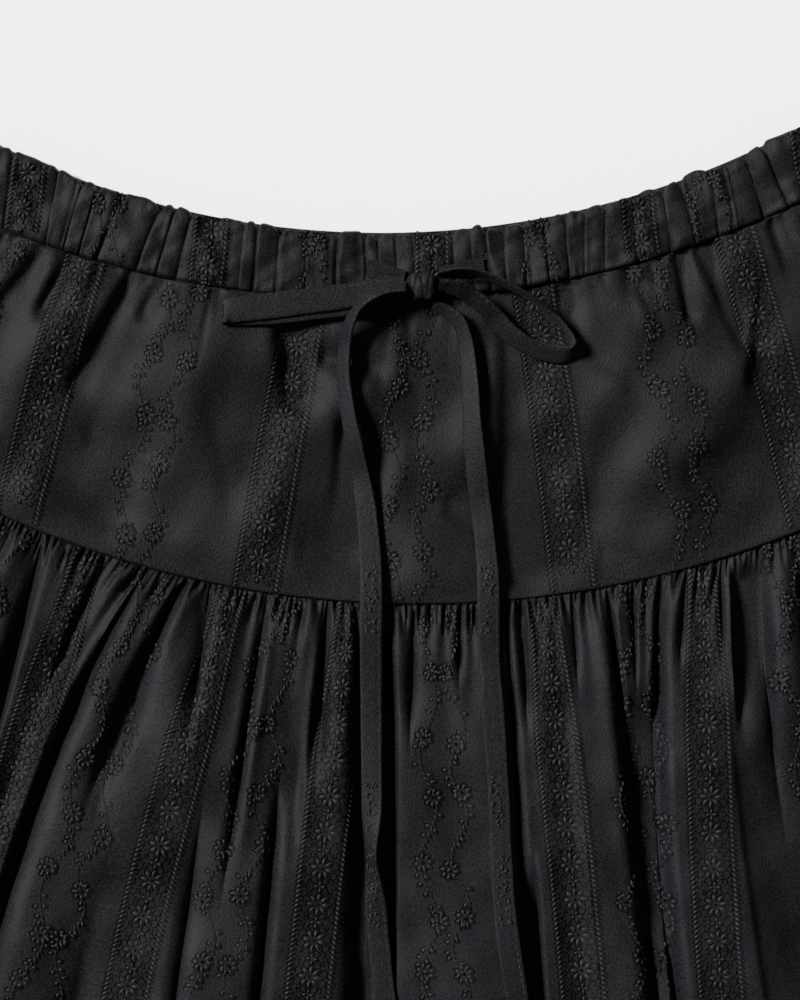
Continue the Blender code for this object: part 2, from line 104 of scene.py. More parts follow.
def squared_off(wave: np.ndarray, power: float) -> np.ndarray:
    """A wave with its size raised to a power and its sign kept, which squares a circle off."""
    return np.sign(wave) * np.abs(wave) ** power


def run_along(points: np.ndarray) -> np.ndarray:
    """Distances along a line of points, from its start."""
    return np.concatenate([[0.0], np.cumsum(np.linalg.norm(np.diff(points, axis=0), axis=1))])


def turns(count: int) -> np.ndarray:
    """Even turns round a circle, from 0."""
    return np.arange(count) * 2 * math.pi / count


@dataclass(frozen=True)
class Ring:
    """An arc of the laid skirt: how far down its middle lies, half its width, radius, turn."""

    down: float | np.ndarray
    half: float | np.ndarray
    radius: float | np.ndarray
    turn: float | np.ndarray

    def towards(self, other: "Ring", t: float | np.ndarray) -> "Ring":
        """The ring that lies the share t of the way to another."""
        return Ring(
            self.down + (other.down - self.down) * t,
            self.half + (other.half - self.half) * t,
            self.radius + (other.radius - self.radius) * t,
            self.turn + (other.turn - self.turn) * t,
        )

    def plan(self, u: float | np.ndarray) -> tuple[np.ndarray, np.ndarray]:
        """X and Y of the share u (-1 to 1) along the arc."""
        angle = self.turn + u * self.half / self.radius
        x = self.radius * (np.sin(angle) - np.sin(self.turn))
        return x, self.y_at_angle(angle)

    def y_at_angle(self, angle: float | np.ndarray) -> np.ndarray:
        """Y of the arc at an angle about its centre."""
        return -self.down + self.radius * (np.cos(self.turn) - np.cos(angle))

    def angle_at(self, x: float | np.ndarray) -> np.ndarray:
        """The angle about the arc's centre where it crosses the given X."""
        return np.arcsin(np.clip(x / self.radius + np.sin(self.turn), -0.999, 0.999))

    def share_at(self, x: float | np.ndarray) -> np.ndarray:
        """The share along the arc where it crosses the given X."""
        return (self.angle_at(x) - self.turn) * self.radius / self.half


WAIST_TOP = Ring(-0.8, 185.0, 353.0, 0.055)
WAIST_SEAM = Ring(26.0, 187.0, 401.0, 0.0588)
YOKE_SEAM = Ring(149.0, 236.0, 410.0, 0.010)
HEM = Ring(413.0, 340.0, 600.0, 0.0)
MIDDLE_Y = (WAIST_TOP.plan(1.0)[1] - HEM.down) / 2


def placed(points: np.ndarray) -> np.ndarray:
    """Plan millimetres as the frame's metres, with the laid skirt's middle on the origin."""
    return (points - (0.0, MIDDLE_Y, 0.0)) * MM


def mesh_piece(
    name: str,
    points: np.ndarray,
    faces: Sequence[np.ndarray],
    uv: np.ndarray | None = None,
    sharp: float = 60.0,
) -> bpy.types.Object:
    """Puts worked-out points and faces into a new object at the origin.

    Args:
        name: the object's name.
        points: plan millimetres, one row a point.
        faces: arrays of point numbers, one array for each number of corners.
        uv: metres across and along the cloth, one row a point.
        sharp: edges steeper than this, in degrees, stay sharp.
    Returns:
        The new object, linked to the scene and smooth shaded.
    """
    mesh = bpy.data.meshes.new(name)
    corners = [row for block in faces for row in np.asarray(block).tolist()]
    mesh.from_pydata(placed(points).tolist(), [], corners)
    if uv is not None:
        layer = mesh.uv_layers.new(name=CLOTH_UV)
        at = np.empty(len(mesh.loops), dtype=np.int32)
        mesh.loops.foreach_get("vertex_index", at)
        layer.data.foreach_set("uv", uv[at].astype(np.float32).ravel())
    mesh.shade_smooth()
    mesh.set_sharp_from_angle(angle=math.radians(sharp))
    mesh.update()
    piece = bpy.data.objects.new(name, mesh)
    bpy.context.scene.collection.objects.link(piece)
    return piece


def grid_faces(rows: int, columns: int, around: bool = False) -> np.ndarray:
    """Quads of a grid whose rows run down and columns to the right, facing the viewer.

    Args:
        rows: how many rows of points.
        columns: how many points in a row.
        around: whether the last column joins the first.
    Returns:
        One row of four point numbers for each quad.
    """
    last = columns if around else columns - 1
    r, c = np.meshgrid(np.arange(rows - 1), np.arange(last), indexing="ij")
    n = (c + 1) % columns
    above, below = r * columns, (r + 1) * columns
    return np.stack([below + c, below + n, above + n, above + c], axis=-1).reshape(-1, 4)


def finish_piece(piece: bpy.types.Object, look: bpy.types.Material, slot: str, *nodes: str) -> None:
    """Gives a piece its finish and body, and the nodes that it stands for."""
    piece.data.materials.append(look)
    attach(piece, BODY)
    if nodes:
        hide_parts(*nodes)
    log.info("%s: %d points", piece.name, len(piece.data.vertices))


def clustered(centres: np.ndarray, reach: float, extra: float, count: int) -> np.ndarray:
    """Places from -1 to 1 that crowd near the centres: the inverse of a summed density.

    Args:
        centres: places from -1 to 1 that need fine columns.
        reach: how far the crowding reaches, as a share.
        extra: how many times denser the places are at a centre.
        count: how many places.
    Returns:
        Sorted places.
    """
    fine = np.linspace(-1.0, 1.0, 6001)
    near = np.abs(fine[:, None] - centres[None, :]).min(axis=1)
    density = 1.0 + extra * np.exp(-near / reach)
    total = np.concatenate([[0.0], np.cumsum((density[1:] + density[:-1]) / 2)])
    return np.interp(np.linspace(0.0, total[-1], count), total, fine)


def rows_down(length: float, fine: float, run: float, coarse: float, foot: float = 0.0) -> np.ndarray:
    """Distances down a panel: fine steps for a run at the top and, if asked, at the foot."""
    top = np.arange(0.0, run, fine)
    low = length - foot if foot else length
    middle = np.linspace(run, low, max(2, int(round((low - run) / coarse)) + 1))
    end = np.linspace(low, length, int(round(foot / fine)) + 1)[1:] if foot else np.array([])
    return np.concatenate([top, middle, end])


@dataclass(frozen=True)
class Ripple:
    """Soft unevenness of cloth: a sum of sine waves with seeded directions and phases."""

    seed: int
    height: float
    shortest: float
    longest: float
    waves: int = 10

    def relief(self, x: np.ndarray, y: np.ndarray) -> np.ndarray:
        """Height of the sum at plan places."""
        random = np.random.default_rng(self.seed)
        length = np.geomspace(self.shortest, self.longest, self.waves)
        angle = random.uniform(0.0, math.pi, self.waves)
        phase = random.uniform(0.0, 2 * math.pi, self.waves)
        share = length / length.sum()
        total = 0.0
        for wave, way, start, part in zip(length, angle, phase, share):
            run = x * math.cos(way) + y * math.sin(way)
            total = total + part * np.sin(2 * math.pi * run / wave + start)
        return self.height * total * math.sqrt(self.waves)


@dataclass(frozen=True)
class Streaks:
    """Small gathers that run down from a seam, each with its own place and size."""

    seed: int
    count: int
    half: float
    width: tuple[float, float]
    depth: tuple[float, float]
    length: tuple[float, float]

    def relief(self, place: np.ndarray, down: np.ndarray) -> np.ndarray:
        """Depth of the gathers: a bell across each, fading as it runs down.

        Args:
            place: millimetres along the seam from its middle.
            down: millimetres below the seam.
        Returns:
            How deep the cloth is pressed there.
        """
        random = np.random.default_rng(self.seed)
        step = 2 * self.half / self.count
        centre = np.linspace(-self.half + step / 2, self.half - step / 2, self.count)
        centre = centre + random.uniform(-0.4, 0.4, self.count) * step
        width = random.uniform(*self.width, self.count)
        depth = random.uniform(*self.depth, self.count)
        length = self.length[0] * (self.length[1] / self.length[0]) ** random.uniform(0, 1, self.count)
        lean = random.normal(0.0, 0.06, self.count)
        total = 0.0
        for at, wide, deep, long, tilt in zip(centre, width, depth, length, lean):
            grown = wide * (1.0 + np.maximum(down, 0.0) / 40.0)
            total = total + deep * np.exp(-(((place - at - tilt * down) / grown) ** 2) - (down / long) ** 2)
        return total


class Side(Enum):
    """Which side of the laid skirt a panel is on."""

    FRONT = 1.0
    BACK = -1.0


@dataclass
class Panel:
    """A cloth panel between two rings, as a height over the plan."""

    node: str
    side: Side
    upper: Ring
    lower: Ring
    flat: tuple[float, float]
    share_steps: int = 9
    inner_share: float = 0.996
    inset: float = 0.7
    probe: float = 0.12
    sharp: float = 80.0

    @property
    def name(self) -> str:
        """The name of the panel's piece."""
        return f"{self.node}_cloth"

    @property
    def length(self) -> float:
        """Millimetres from the upper ring to the lower."""
        return self.lower.down - self.upper.down

    def height(self, u: np.ndarray, down: np.ndarray, x: np.ndarray, y: np.ndarray) -> np.ndarray:
        """Height of the outer face; each kind of panel has its own."""
        raise NotImplementedError

    def plan(self, u: np.ndarray, down: np.ndarray) -> tuple[np.ndarray, np.ndarray]:
        """Plan place of the share u along the ring at a distance down."""
        return self.upper.towards(self.lower, down / self.length).plan(u)

    def share(self, x: np.ndarray, y: np.ndarray) -> tuple[np.ndarray, np.ndarray]:
        """The inverse of plan: the distance down is stepped until its arc runs through the place."""
        down = -y - self.upper.down
        for _ in range(self.share_steps):
            ring = self.upper.towards(self.lower, down / self.length)
            angle = ring.angle_at(x)
            down = down - (y - ring.y_at_angle(angle))
        return (angle - ring.turn) * ring.radius / ring.half, down

    def height_at(self, x: np.ndarray, y: np.ndarray) -> np.ndarray:
        """Height of the outer face at plan places."""
        u, down = self.share(x, y)
        return self.height(u, down, x, y)

    def inside(self, x: np.ndarray, y: np.ndarray) -> tuple[np.ndarray, np.ndarray]:
        """Plan places moved, where they must, to just inside the panel's own edges."""
        u, down = self.share(x, y)
        u = np.clip(u, -self.inner_share, self.inner_share)
        return self.plan(u, np.clip(down, self.inset, self.length - self.inset))

    def surface(self, x: np.ndarray, y: np.ndarray) -> tuple[np.ndarray, np.ndarray]:
        """Points of the outer face at plan places, and the way that it faces there."""
        z = self.height_at(x, y)
        dx = (self.height_at(x + self.probe, y) - z) / self.probe
        dy = (self.height_at(x, y + self.probe) - z) / self.probe
        facing = unit(np.stack([-dx, -dy, np.ones_like(z)], axis=-1)) * self.side.value
        return np.stack([x, y, z], axis=-1), facing

    def cloth_map(self, u: np.ndarray, down: np.ndarray) -> np.ndarray:
        """Metres across and along the flat cloth."""
        return np.stack([u * self.flat[0] / 2 * MM, -down * MM], axis=-1)

    def outward(self, faces: Sequence[np.ndarray]) -> list[np.ndarray]:
        """Faces of a front panel, turned over where the panel is at the back."""
        return [block[:, ::-1] if self.side is Side.BACK else block for block in faces]

    def shell(self, u: np.ndarray, down: np.ndarray, wall: float, head: int = 0) -> bpy.types.Object:
        """The panel as a thin shell: a grid over shares and distances, given its wall inwards.

        Args:
            u: shares along the rings, the grid's columns; an odd number of them if it has a head.
            down: distances down, the grid's rows.
            wall: the cloth's thickness in millimetres.
            head: how many of the rows keep every column; those below keep every other one.
        Returns:
            The panel's object.
        """
        columns = len(u)
        kept = u[::2] if head else u
        top_u, top_down = np.meshgrid(u, down[:head])
        low_u, low_down = np.meshgrid(kept, down[head:])
        flat_u = np.concatenate([top_u.ravel(), low_u.ravel()])
        flat_down = np.concatenate([top_down.ravel(), low_down.ravel()])
        x, y = self.plan(flat_u, flat_down)
        points = np.stack([x, y, self.height(flat_u, flat_down, x, y)], axis=-1)
        faces = [grid_faces(len(down) - head, len(kept)) + head * columns]
        if head:
            k = np.arange(len(kept) - 1)
            above = (head - 1) * columns + 2 * k
            below = head * columns + k
            faces.append(grid_faces(head, columns))
            faces.append(np.stack([below, below + 1, above + 2, above + 1, above], axis=-1))
        uv = self.cloth_map(flat_u, flat_down)
        piece = mesh_piece(self.name, points, self.outward(faces), uv, self.sharp)
        solid = piece.modifiers.new("wall", "SOLIDIFY")
        solid.thickness = wall * MM
        solid.offset = -1.0
        return piece


@dataclass
class Casing(Panel):
    """A panel of the waistband: one closed form with a gathered face and a plain one."""

    plain_round: float = 3.0

    def edge_shift(self, u: np.ndarray, down: np.ndarray, x: np.ndarray) -> np.ndarray:
        """How far the gathered face's points are moved towards the waist; none here."""
        return np.zeros_like(x)

    def plain_face(self, turned_in: np.ndarray) -> np.ndarray:
        """Height of the plain face where it has turned in so far: 1 at an edge, 0 past its round."""
        raise NotImplementedError

    def closed_form(self, u: np.ndarray, rows: np.ndarray) -> bpy.types.Object:
        """The casing as one closed form: its face, the round of each edge and its plain face.

        Args:
            u: shares along the rings, the grid's columns.
            rows: distances down, the grid's rows.
        Returns:
            The casing's object.
        """
        u, down = np.meshgrid(u, rows)
        x, y = self.plan(u, down)
        z = self.height(u, down, x, y)
        face = np.stack([x, y + self.edge_shift(u, down, x), z], axis=-1)
        plain = face[::-1].copy()
        to_edge = np.minimum(down, self.length - down)[::-1]
        plain[..., 2] = self.plain_face(dip(to_edge, self.plain_round))
        points = np.concatenate([face, plain[1:-1]])
        uv = self.cloth_map(u, down)
        uv = np.concatenate([uv, uv[::-1][1:-1]])
        count, columns = points.shape[:2]
        wrap = np.arange(columns - 1)
        last = (count - 1) * columns
        closing = np.stack([wrap, wrap + 1, last + wrap + 1, last + wrap], axis=-1)
        left = np.arange(count) * columns
        caps = [left[::-1][None, :], (left + columns - 1)[None, :]]
        faces = self.outward([grid_faces(count, columns), closing, *caps])
        return mesh_piece(self.name, points.reshape(-1, 3), faces, uv.reshape(-1, 2), self.sharp)


@dataclass(frozen=True)
class Fold:
    """A fold of the tier: places at the seam and halfway down, slopes, depth share and reach."""

    seam: float
    middle: float
    left: float
    right: float
    depth: float
    start: float
    full: float
    end: float


FOLDS = (
    Fold(-212, -262, 6, 6, 0.80, 0, 8, 260), Fold(-196, -246, 5, 8, 0.60, 0, 6, 70),
    Fold(-180, -229, 8, 6, 0.95, 0, 8, 400), Fold(-166, -214, 6, 5, 0.60, 0, 5, 45),
    Fold(-155, -186, 3.5, 6, 0.96, 0, 8, 400), Fold(-112, -168, 3.5, 6, 0.98, 4, 20, 300),
    Fold(-98, -144, 3.5, 6, 0.95, 0, 6, 110), Fold(-93, -132, 10, 12, 0.50, 110, 180, 400),
    Fold(-88, -106, 3, 4, 0.80, 0, 6, 70), Fold(-76, -97, 8, 7, 0.50, 80, 130, 400),
    Fold(-65, -84, 3.5, 5, 0.90, 0, 6, 130), Fold(-52, -66, 3.5, 5, 0.92, 70, 100, 400),
    Fold(-41, -52, 3.5, 5, 0.96, 0, 5, 80), Fold(-30, -27, 3, 4, 0.97, 0, 5, 400),
    Fold(-18, -15, 3, 4, 0.97, 0, 5, 400), Fold(-6, -10, 6, 5, 0.70, 0, 6, 60),
    Fold(12, 12, 3, 4, 0.90, 0, 5, 34), Fold(30, 38, 2.8, 4.5, 0.64, 0, 5, 400),
    Fold(36, 44, 3, 4, 0.70, 0, 5, 55), Fold(46, 56, 9, 9, 0.40, 170, 230, 400),
    Fold(57, 66, 6, 5, 0.50, 0, 6, 42), Fold(71, 87, 3.5, 3, 0.98, 0, 6, 400),
    Fold(81, 90, 3, 3, 0.60, 0, 5, 45), Fold(93, 94, 3, 6, 0.97, 0, 5, 400),
    Fold(103, 104, 4, 5, 0.70, 0, 5, 40), Fold(117, 126, 3, 3, 0.60, 0, 6, 40),
    Fold(133, 145, 8, 9, 0.90, 2, 16, 130), Fold(147, 165, 6, 6, 0.90, 0, 6, 400),
    Fold(163, 192, 6, 5, 0.60, 0, 6, 90), Fold(179, 220, 8, 6, 0.92, 0, 8, 400),
    Fold(195, 240, 5, 7, 0.60, 0, 6, 60), Fold(211, 258, 6, 6, 0.80, 0, 8, 230),
)


@dataclass(frozen=True)
class Hollow:
    """Cloth that sinks into shadow: its sides at the seam, its reach down, its walls and its lean.

    The lean is the share of its depth that only comes as the cloth runs from left to right.
    """

    left: float
    right: float
    start: float
    full: float
    end: float
    sunk: float
    left_wall: float = 3.0
    right_wall: float = 3.0
    lean: float = 0.0

    def depth(self, place: np.ndarray, down: np.ndarray, fade_share: float) -> np.ndarray:
        """The share of the loft that it takes away, in seam millimetres and millimetres down."""
        low = float(YOKE_SEAM.share_at(self.left)) * YOKE_SEAM.half
        high = float(YOKE_SEAM.share_at(self.right)) * YOKE_SEAM.half
        across = smooth((place - low) / self.left_wall) * smooth((high - place) / self.right_wall)
        across = across * (1.0 - self.lean * (1.0 - np.clip((place - low) / (high - low), 0.0, 1.0)))
        fade = (self.end - self.full) * fade_share
        grown = smooth((down - self.start) / (self.full - self.start))
        return self.sunk * across * grown * (1.0 - smooth((down - self.end + fade) / fade))


HOLLOWS = (
    Hollow(70, 94, 40, 60, 210, 0.96, 1.5, 2.0), Hollow(28, 37, 100, 130, 240, 0.92, 1.5, 2.0),
    Hollow(120, 137, 2, 12, 76, 0.97, 2.0, 6.0), Hollow(117, 151, 50, 100, 420, 0.96, 3.0, 4.0, 0.86),
    Hollow(-132, -112, 2, 26, 60, 0.45), Hollow(-150, -128, 70, 110, 240, 0.45, 3.0, 6.0, 0.5),
    Hollow(-184, -158, 30, 60, 160, 0.5, 3.0, 6.0, 0.5), Hollow(-62, -42, 6, 26, 120, 0.35, 4.0, 4.0, 0.5),
    Hollow(40, 56, 20, 60, 260, 0.22, 6.0, 6.0, 0.6),
)

TIER_HALFWAY = 0.5
TIER_DROP = HEM.down - YOKE_SEAM.down
FOLD_TOPS = np.array([-1.0] + [float(YOKE_SEAM.share_at(f.seam)) for f in FOLDS] + [1.0])
HALFWAY_RING = YOKE_SEAM.towards(HEM, TIER_HALFWAY)
FOLD_MIDDLES = np.array([-1.0] + [float(HALFWAY_RING.share_at(f.middle)) for f in FOLDS] + [1.0])


def fanned(down: np.ndarray) -> np.ndarray:
    """How far the folds have fanned out: fast below the seam, then more slowly."""
    t = np.maximum(down, 0.0) / (TIER_DROP * TIER_HALFWAY)
    return (1.0 - np.exp(-2.0 * t)) / (1.0 - math.exp(-2.0))


@dataclass
class TierFront(Panel):
    """The gathered front of the lower tier: rolls of cloth between folds, finely gathered on top."""

    crest_down: tuple[float, ...] = (0.0, 6.0, 18.0, 60.0, 150.0, 264.0)
    crest_loft: tuple[float, ...] = (3.9, 5.8, 8.4, 11.0, 11.5, 10.5)
    side_roll: float = 8.0
    fold_fade: float = 0.55
    tuck: float = 1.1
    deep_fold: float = 0.94
    floor: float = 1.5
    floor_run: float = 60.0
    full_loft: float = 6.0
    edge_drop: float = 1.4
    edge_run: float = 2.5
    crimps: Streaks = Streaks(7, 228, 236.0, (0.5, 0.95), (1.2, 4.2), (3.0, 13.0))
    gathers: Streaks = Streaks(13, 74, 236.0, (1.0, 2.2), (0.5, 2.6), (10.0, 50.0))
    long_gathers: Streaks = Streaks(11, 46, 236.0, (2.0, 5.0), (0.6, 2.6), (40.0, 200.0))
    ripple: Ripple = Ripple(3, 1.0, 12.0, 80.0)

    def plan(self, u: np.ndarray, down: np.ndarray) -> tuple[np.ndarray, np.ndarray]:
        """Plan place, with the shares fanned out from the seam's folds to the halfway ones."""
        fan = u + (np.interp(u, FOLD_TOPS, FOLD_MIDDLES) - u) * fanned(down)
        return super().plan(fan, down)

    def share(self, x: np.ndarray, y: np.ndarray) -> tuple[np.ndarray, np.ndarray]:
        """The inverse of plan: the fan is undone between the two fold lines beside the place."""
        fan, down = super().share(x, y)
        knots = FOLD_TOPS + (FOLD_MIDDLES - FOLD_TOPS) * fanned(down)[..., None]
        at = np.clip((knots <= fan[..., None]).sum(axis=-1) - 1, 0, len(FOLD_TOPS) - 2)
        low = np.take_along_axis(knots, at[..., None], axis=-1)[..., 0]
        high = np.take_along_axis(knots, at[..., None] + 1, axis=-1)[..., 0]
        part = (fan - low) / (high - low)
        return FOLD_TOPS[at] + (FOLD_TOPS[at + 1] - FOLD_TOPS[at]) * part, down

    def height(self, u: np.ndarray, down: np.ndarray, x: np.ndarray, y: np.ndarray) -> np.ndarray:
        """The crest's height, less each fold's slopes and the hollows, with fine gathers on it."""
        loft = np.interp(down, self.crest_down, self.crest_loft)
        place = u * YOKE_SEAM.half
        for fold, at in zip(FOLDS, FOLD_TOPS[1:-1] * YOKE_SEAM.half):
            width = np.where(place < at, fold.left, fold.right)
            fade = (fold.end - fold.full) * self.fold_fade
            grown = smooth((down - fold.start) / max(fold.full - fold.start, 1.0))
            left = 1.0 - smooth((down - fold.end + fade) / fade)
            bottom = self.floor * smooth(down / self.floor_run) if fold.depth > self.deep_fold else 0.0
            off = np.maximum(np.abs(place - at) - bottom, 0.0)
            loft = loft * (1.0 - fold.depth * grown * left * dip(off, width))
        for hollow in HOLLOWS:
            loft = loft * (1.0 - hollow.depth(place, down, self.fold_fade))
        free = np.clip(loft / self.full_loft, 0.0, 1.0)
        loft = loft - self.tuck * np.exp(-((np.maximum(down, 0.0) / 0.9) ** 2))
        begun = ((self.crimps, -0.6, 1.2), (self.gathers, 0.0, 2.5), (self.long_gathers, 0.0, 12.0))
        for streaks, start, run in begun:
            loft = loft - streaks.relief(place, down) * smooth((down - start) / run) * free
        loft = loft + self.ripple.relief(x, y) * smooth(down / 20.0) * free
        edge = (1.0 - np.abs(u)) * YOKE_SEAM.half
        rolled = np.maximum(loft, 0.0) * (1.0 - dip(edge, self.side_roll))
        return FRONT_FACE + rolled - self.edge_drop * dip(edge, self.edge_run)


@dataclass(frozen=True)
class Pucker:
    """A gather of the waistband: places along its top edge and along the seam, and depth."""

    top: float
    foot: float
    depth: float


PUCKERS = (
    Pucker(-176, -180, 0.9), Pucker(-167, -171, 0.7), Pucker(-149, -154, 0.6),
    Pucker(-139, -147, 0.9), Pucker(-133, -141, 1.0), Pucker(-123, -134, 0.8),
    Pucker(-108, -118, 1.0), Pucker(-102, -110, 0.9), Pucker(-95, -102, 0.6),
    Pucker(-86, -89, 0.5), Pucker(-74, -77, 0.5), Pucker(-69, -71, 0.8),
    Pucker(-60, -62, 1.2), Pucker(-49, -50, 0.5), Pucker(-37, -38, 0.5),
    Pucker(-26, -26, 0.9), Pucker(-21, -20, 0.7), Pucker(-14, -13, 0.8),
    Pucker(-7, -6, 0.7), Pucker(1, 1, 0.5), Pucker(9, 10, 0.7), Pucker(16, 18, 0.5),
    Pucker(22, 25, 1.1), Pucker(29, 31, 1.2), Pucker(37, 39, 0.5), Pucker(45, 48, 0.8),
    Pucker(54, 56, 1.2), Pucker(62, 62, 0.5), Pucker(70, 70, 0.6), Pucker(81, 83, 0.5),
    Pucker(93, 97, 1.0), Pucker(100, 107, 1.2), Pucker(112, 116, 0.7),
    Pucker(119, 124, 0.5), Pucker(126, 134, 0.9), Pucker(133, 144, 1.1),
    Pucker(148, 154, 0.8), Pucker(157, 162, 0.6), Pucker(166, 171, 0.9),
)
PUCKER_TOPS = np.array([-1.0] + [float(WAIST_TOP.share_at(p.top)) for p in PUCKERS] + [1.0])
PUCKER_FEET = np.array([-1.0] + [float(WAIST_SEAM.share_at(p.foot)) for p in PUCKERS] + [1.0])


@dataclass(frozen=True)
class Crease:
    """A soft crease of the yoke: from, to, half width and depth."""

    x0: float
    y0: float
    x1: float
    y1: float
    width: float
    depth: float

    def trough(self, x: np.ndarray, y: np.ndarray) -> np.ndarray:
        """Depth at plan places: a bell across the line, steep on its left and soft on its right."""
        run = np.array((self.x1 - self.x0, self.y1 - self.y0))
        along = ((x - self.x0) * run[0] + (y - self.y0) * run[1]) / (run @ run)
        held = np.clip(along, 0.0, 1.0)
        right = x - self.x0 - held * run[0]
        off = np.hypot(right, y - self.y0 - held * run[1])
        width = self.width * (1.15 + 0.62 * right / np.maximum(off, 0.01))
        return self.depth * np.exp(-((off / width) ** 2))


CREASES = (
    Crease(-144, -9, -156, -30, 3.2, 3.8), Crease(-118, -15, -143, -60, 4.0, 4.2),
    Crease(-109, -19, -115, -32, 3.2, 2.6), Crease(-59, -42, -55, -64, 6.0, 6.0),
    Crease(-42, -50, -24, -54, 4.0, 3.2), Crease(-34, -80, -34, -114, 6.0, 5.4),
    Crease(33, -96, 35, -134, 7.0, 4.4), Crease(55, -22, 55, -40, 2.2, 2.2),
    Crease(99, -10, 103, -33, 2.6, 3.0), Crease(108, -7, 124, -42, 3.4, 3.8),
    Crease(135, -24, 129, -58, 5.0, 4.2), Crease(137, 2, 145, -18, 3.0, 2.8),
    Crease(104, -96, 116, -90, 5.0, 1.8), Crease(70, -130, 88, -133, 6.0, 1.2),
    Crease(-50, -126, -34, -128, 5.0, 1.5), Crease(-136, -82, -112, -90, 5.0, 1.4),
    Crease(-176, -6, -190, -36, 3.5, 2.4), Crease(-159, -11, -172, -27, 3.0, 2.2),
    Crease(-2, -36, -4, -100, 13.0, 3.0), Crease(11, -34, 10, -108, 22.0, 2.2),
    Crease(-15, -34, -19, -62, 7.0, 1.8), Crease(31, -36, 31, -84, 6.0, 2.6),
    Crease(27, -31, 46, -42, 5.0, 4.6), Crease(9, -110, 19, -118, 4.5, 2.4),
    Crease(58, -44, 80, -58, 5.5, 1.9), Crease(84, -23, 90, -34, 3.0, 1.4),
    Crease(160, 6, 178, -30, 4.0, 2.4), Crease(-186, -70, -206, -88, 5.0, 1.6),
    Crease(176, -62, 200, -80, 5.0, 1.6), Crease(-88, -66, -80, -104, 9.0, 1.2),
    Crease(72, -78, 66, -108, 9.0, 1.2), Crease(-150, -96, -128, -112, 8.0, 1.2),
)


@dataclass
class YokeFront(Panel):
    """The front of the yoke: a low swell with soft creases, gathers off the waist, folded edges."""

    swell_at: tuple[float, ...] = (0.0, 0.12, 0.5, 1.0)
    swell: tuple[float, ...] = (2.6, 4.4, 5.4, 4.2)
    side_roll: float = 8.0
    edge_drop: float = 1.4
    edge_run: float = 2.5
    least: float = 0.6
    firmness: float = 2.5
    still_runs: tuple[float, float] = (14.0, 16.0)
    gathers: Streaks = Streaks(5, 70, 187.0, (0.7, 2.8), (0.2, 1.7), (3.0, 34.0))
    ripple: Ripple = Ripple(9, 2.6, 22.0, 110.0)

    def height(self, u: np.ndarray, down: np.ndarray, x: np.ndarray, y: np.ndarray) -> np.ndarray:
        """The swell, less creases, gathers and the roll into both seams."""
        loft = np.interp(down / self.length, self.swell_at, self.swell)
        for crease in CREASES:
            loft = loft - crease.trough(x, y)
        head, foot = self.still_runs
        to_foot = self.length - down
        loft = loft + self.ripple.relief(x, y) * smooth(down / head) * smooth(to_foot / foot)
        loft = self.least + np.logaddexp(0.0, self.firmness * (loft - self.least)) / self.firmness
        loft = loft - self.gathers.relief(u * self.upper.half, down) * smooth(down / 1.5)
        loft = loft - 0.9 * dip(down, 1.1) - 1.0 * dip(to_foot, 0.9)
        edge = (1.0 - np.abs(u)) * WAIST_SEAM.half
        rolled = np.maximum(loft, 0.3) * (1.0 - dip(edge, self.side_roll))
        return FRONT_FACE + rolled - self.edge_drop * dip(edge, self.edge_run)


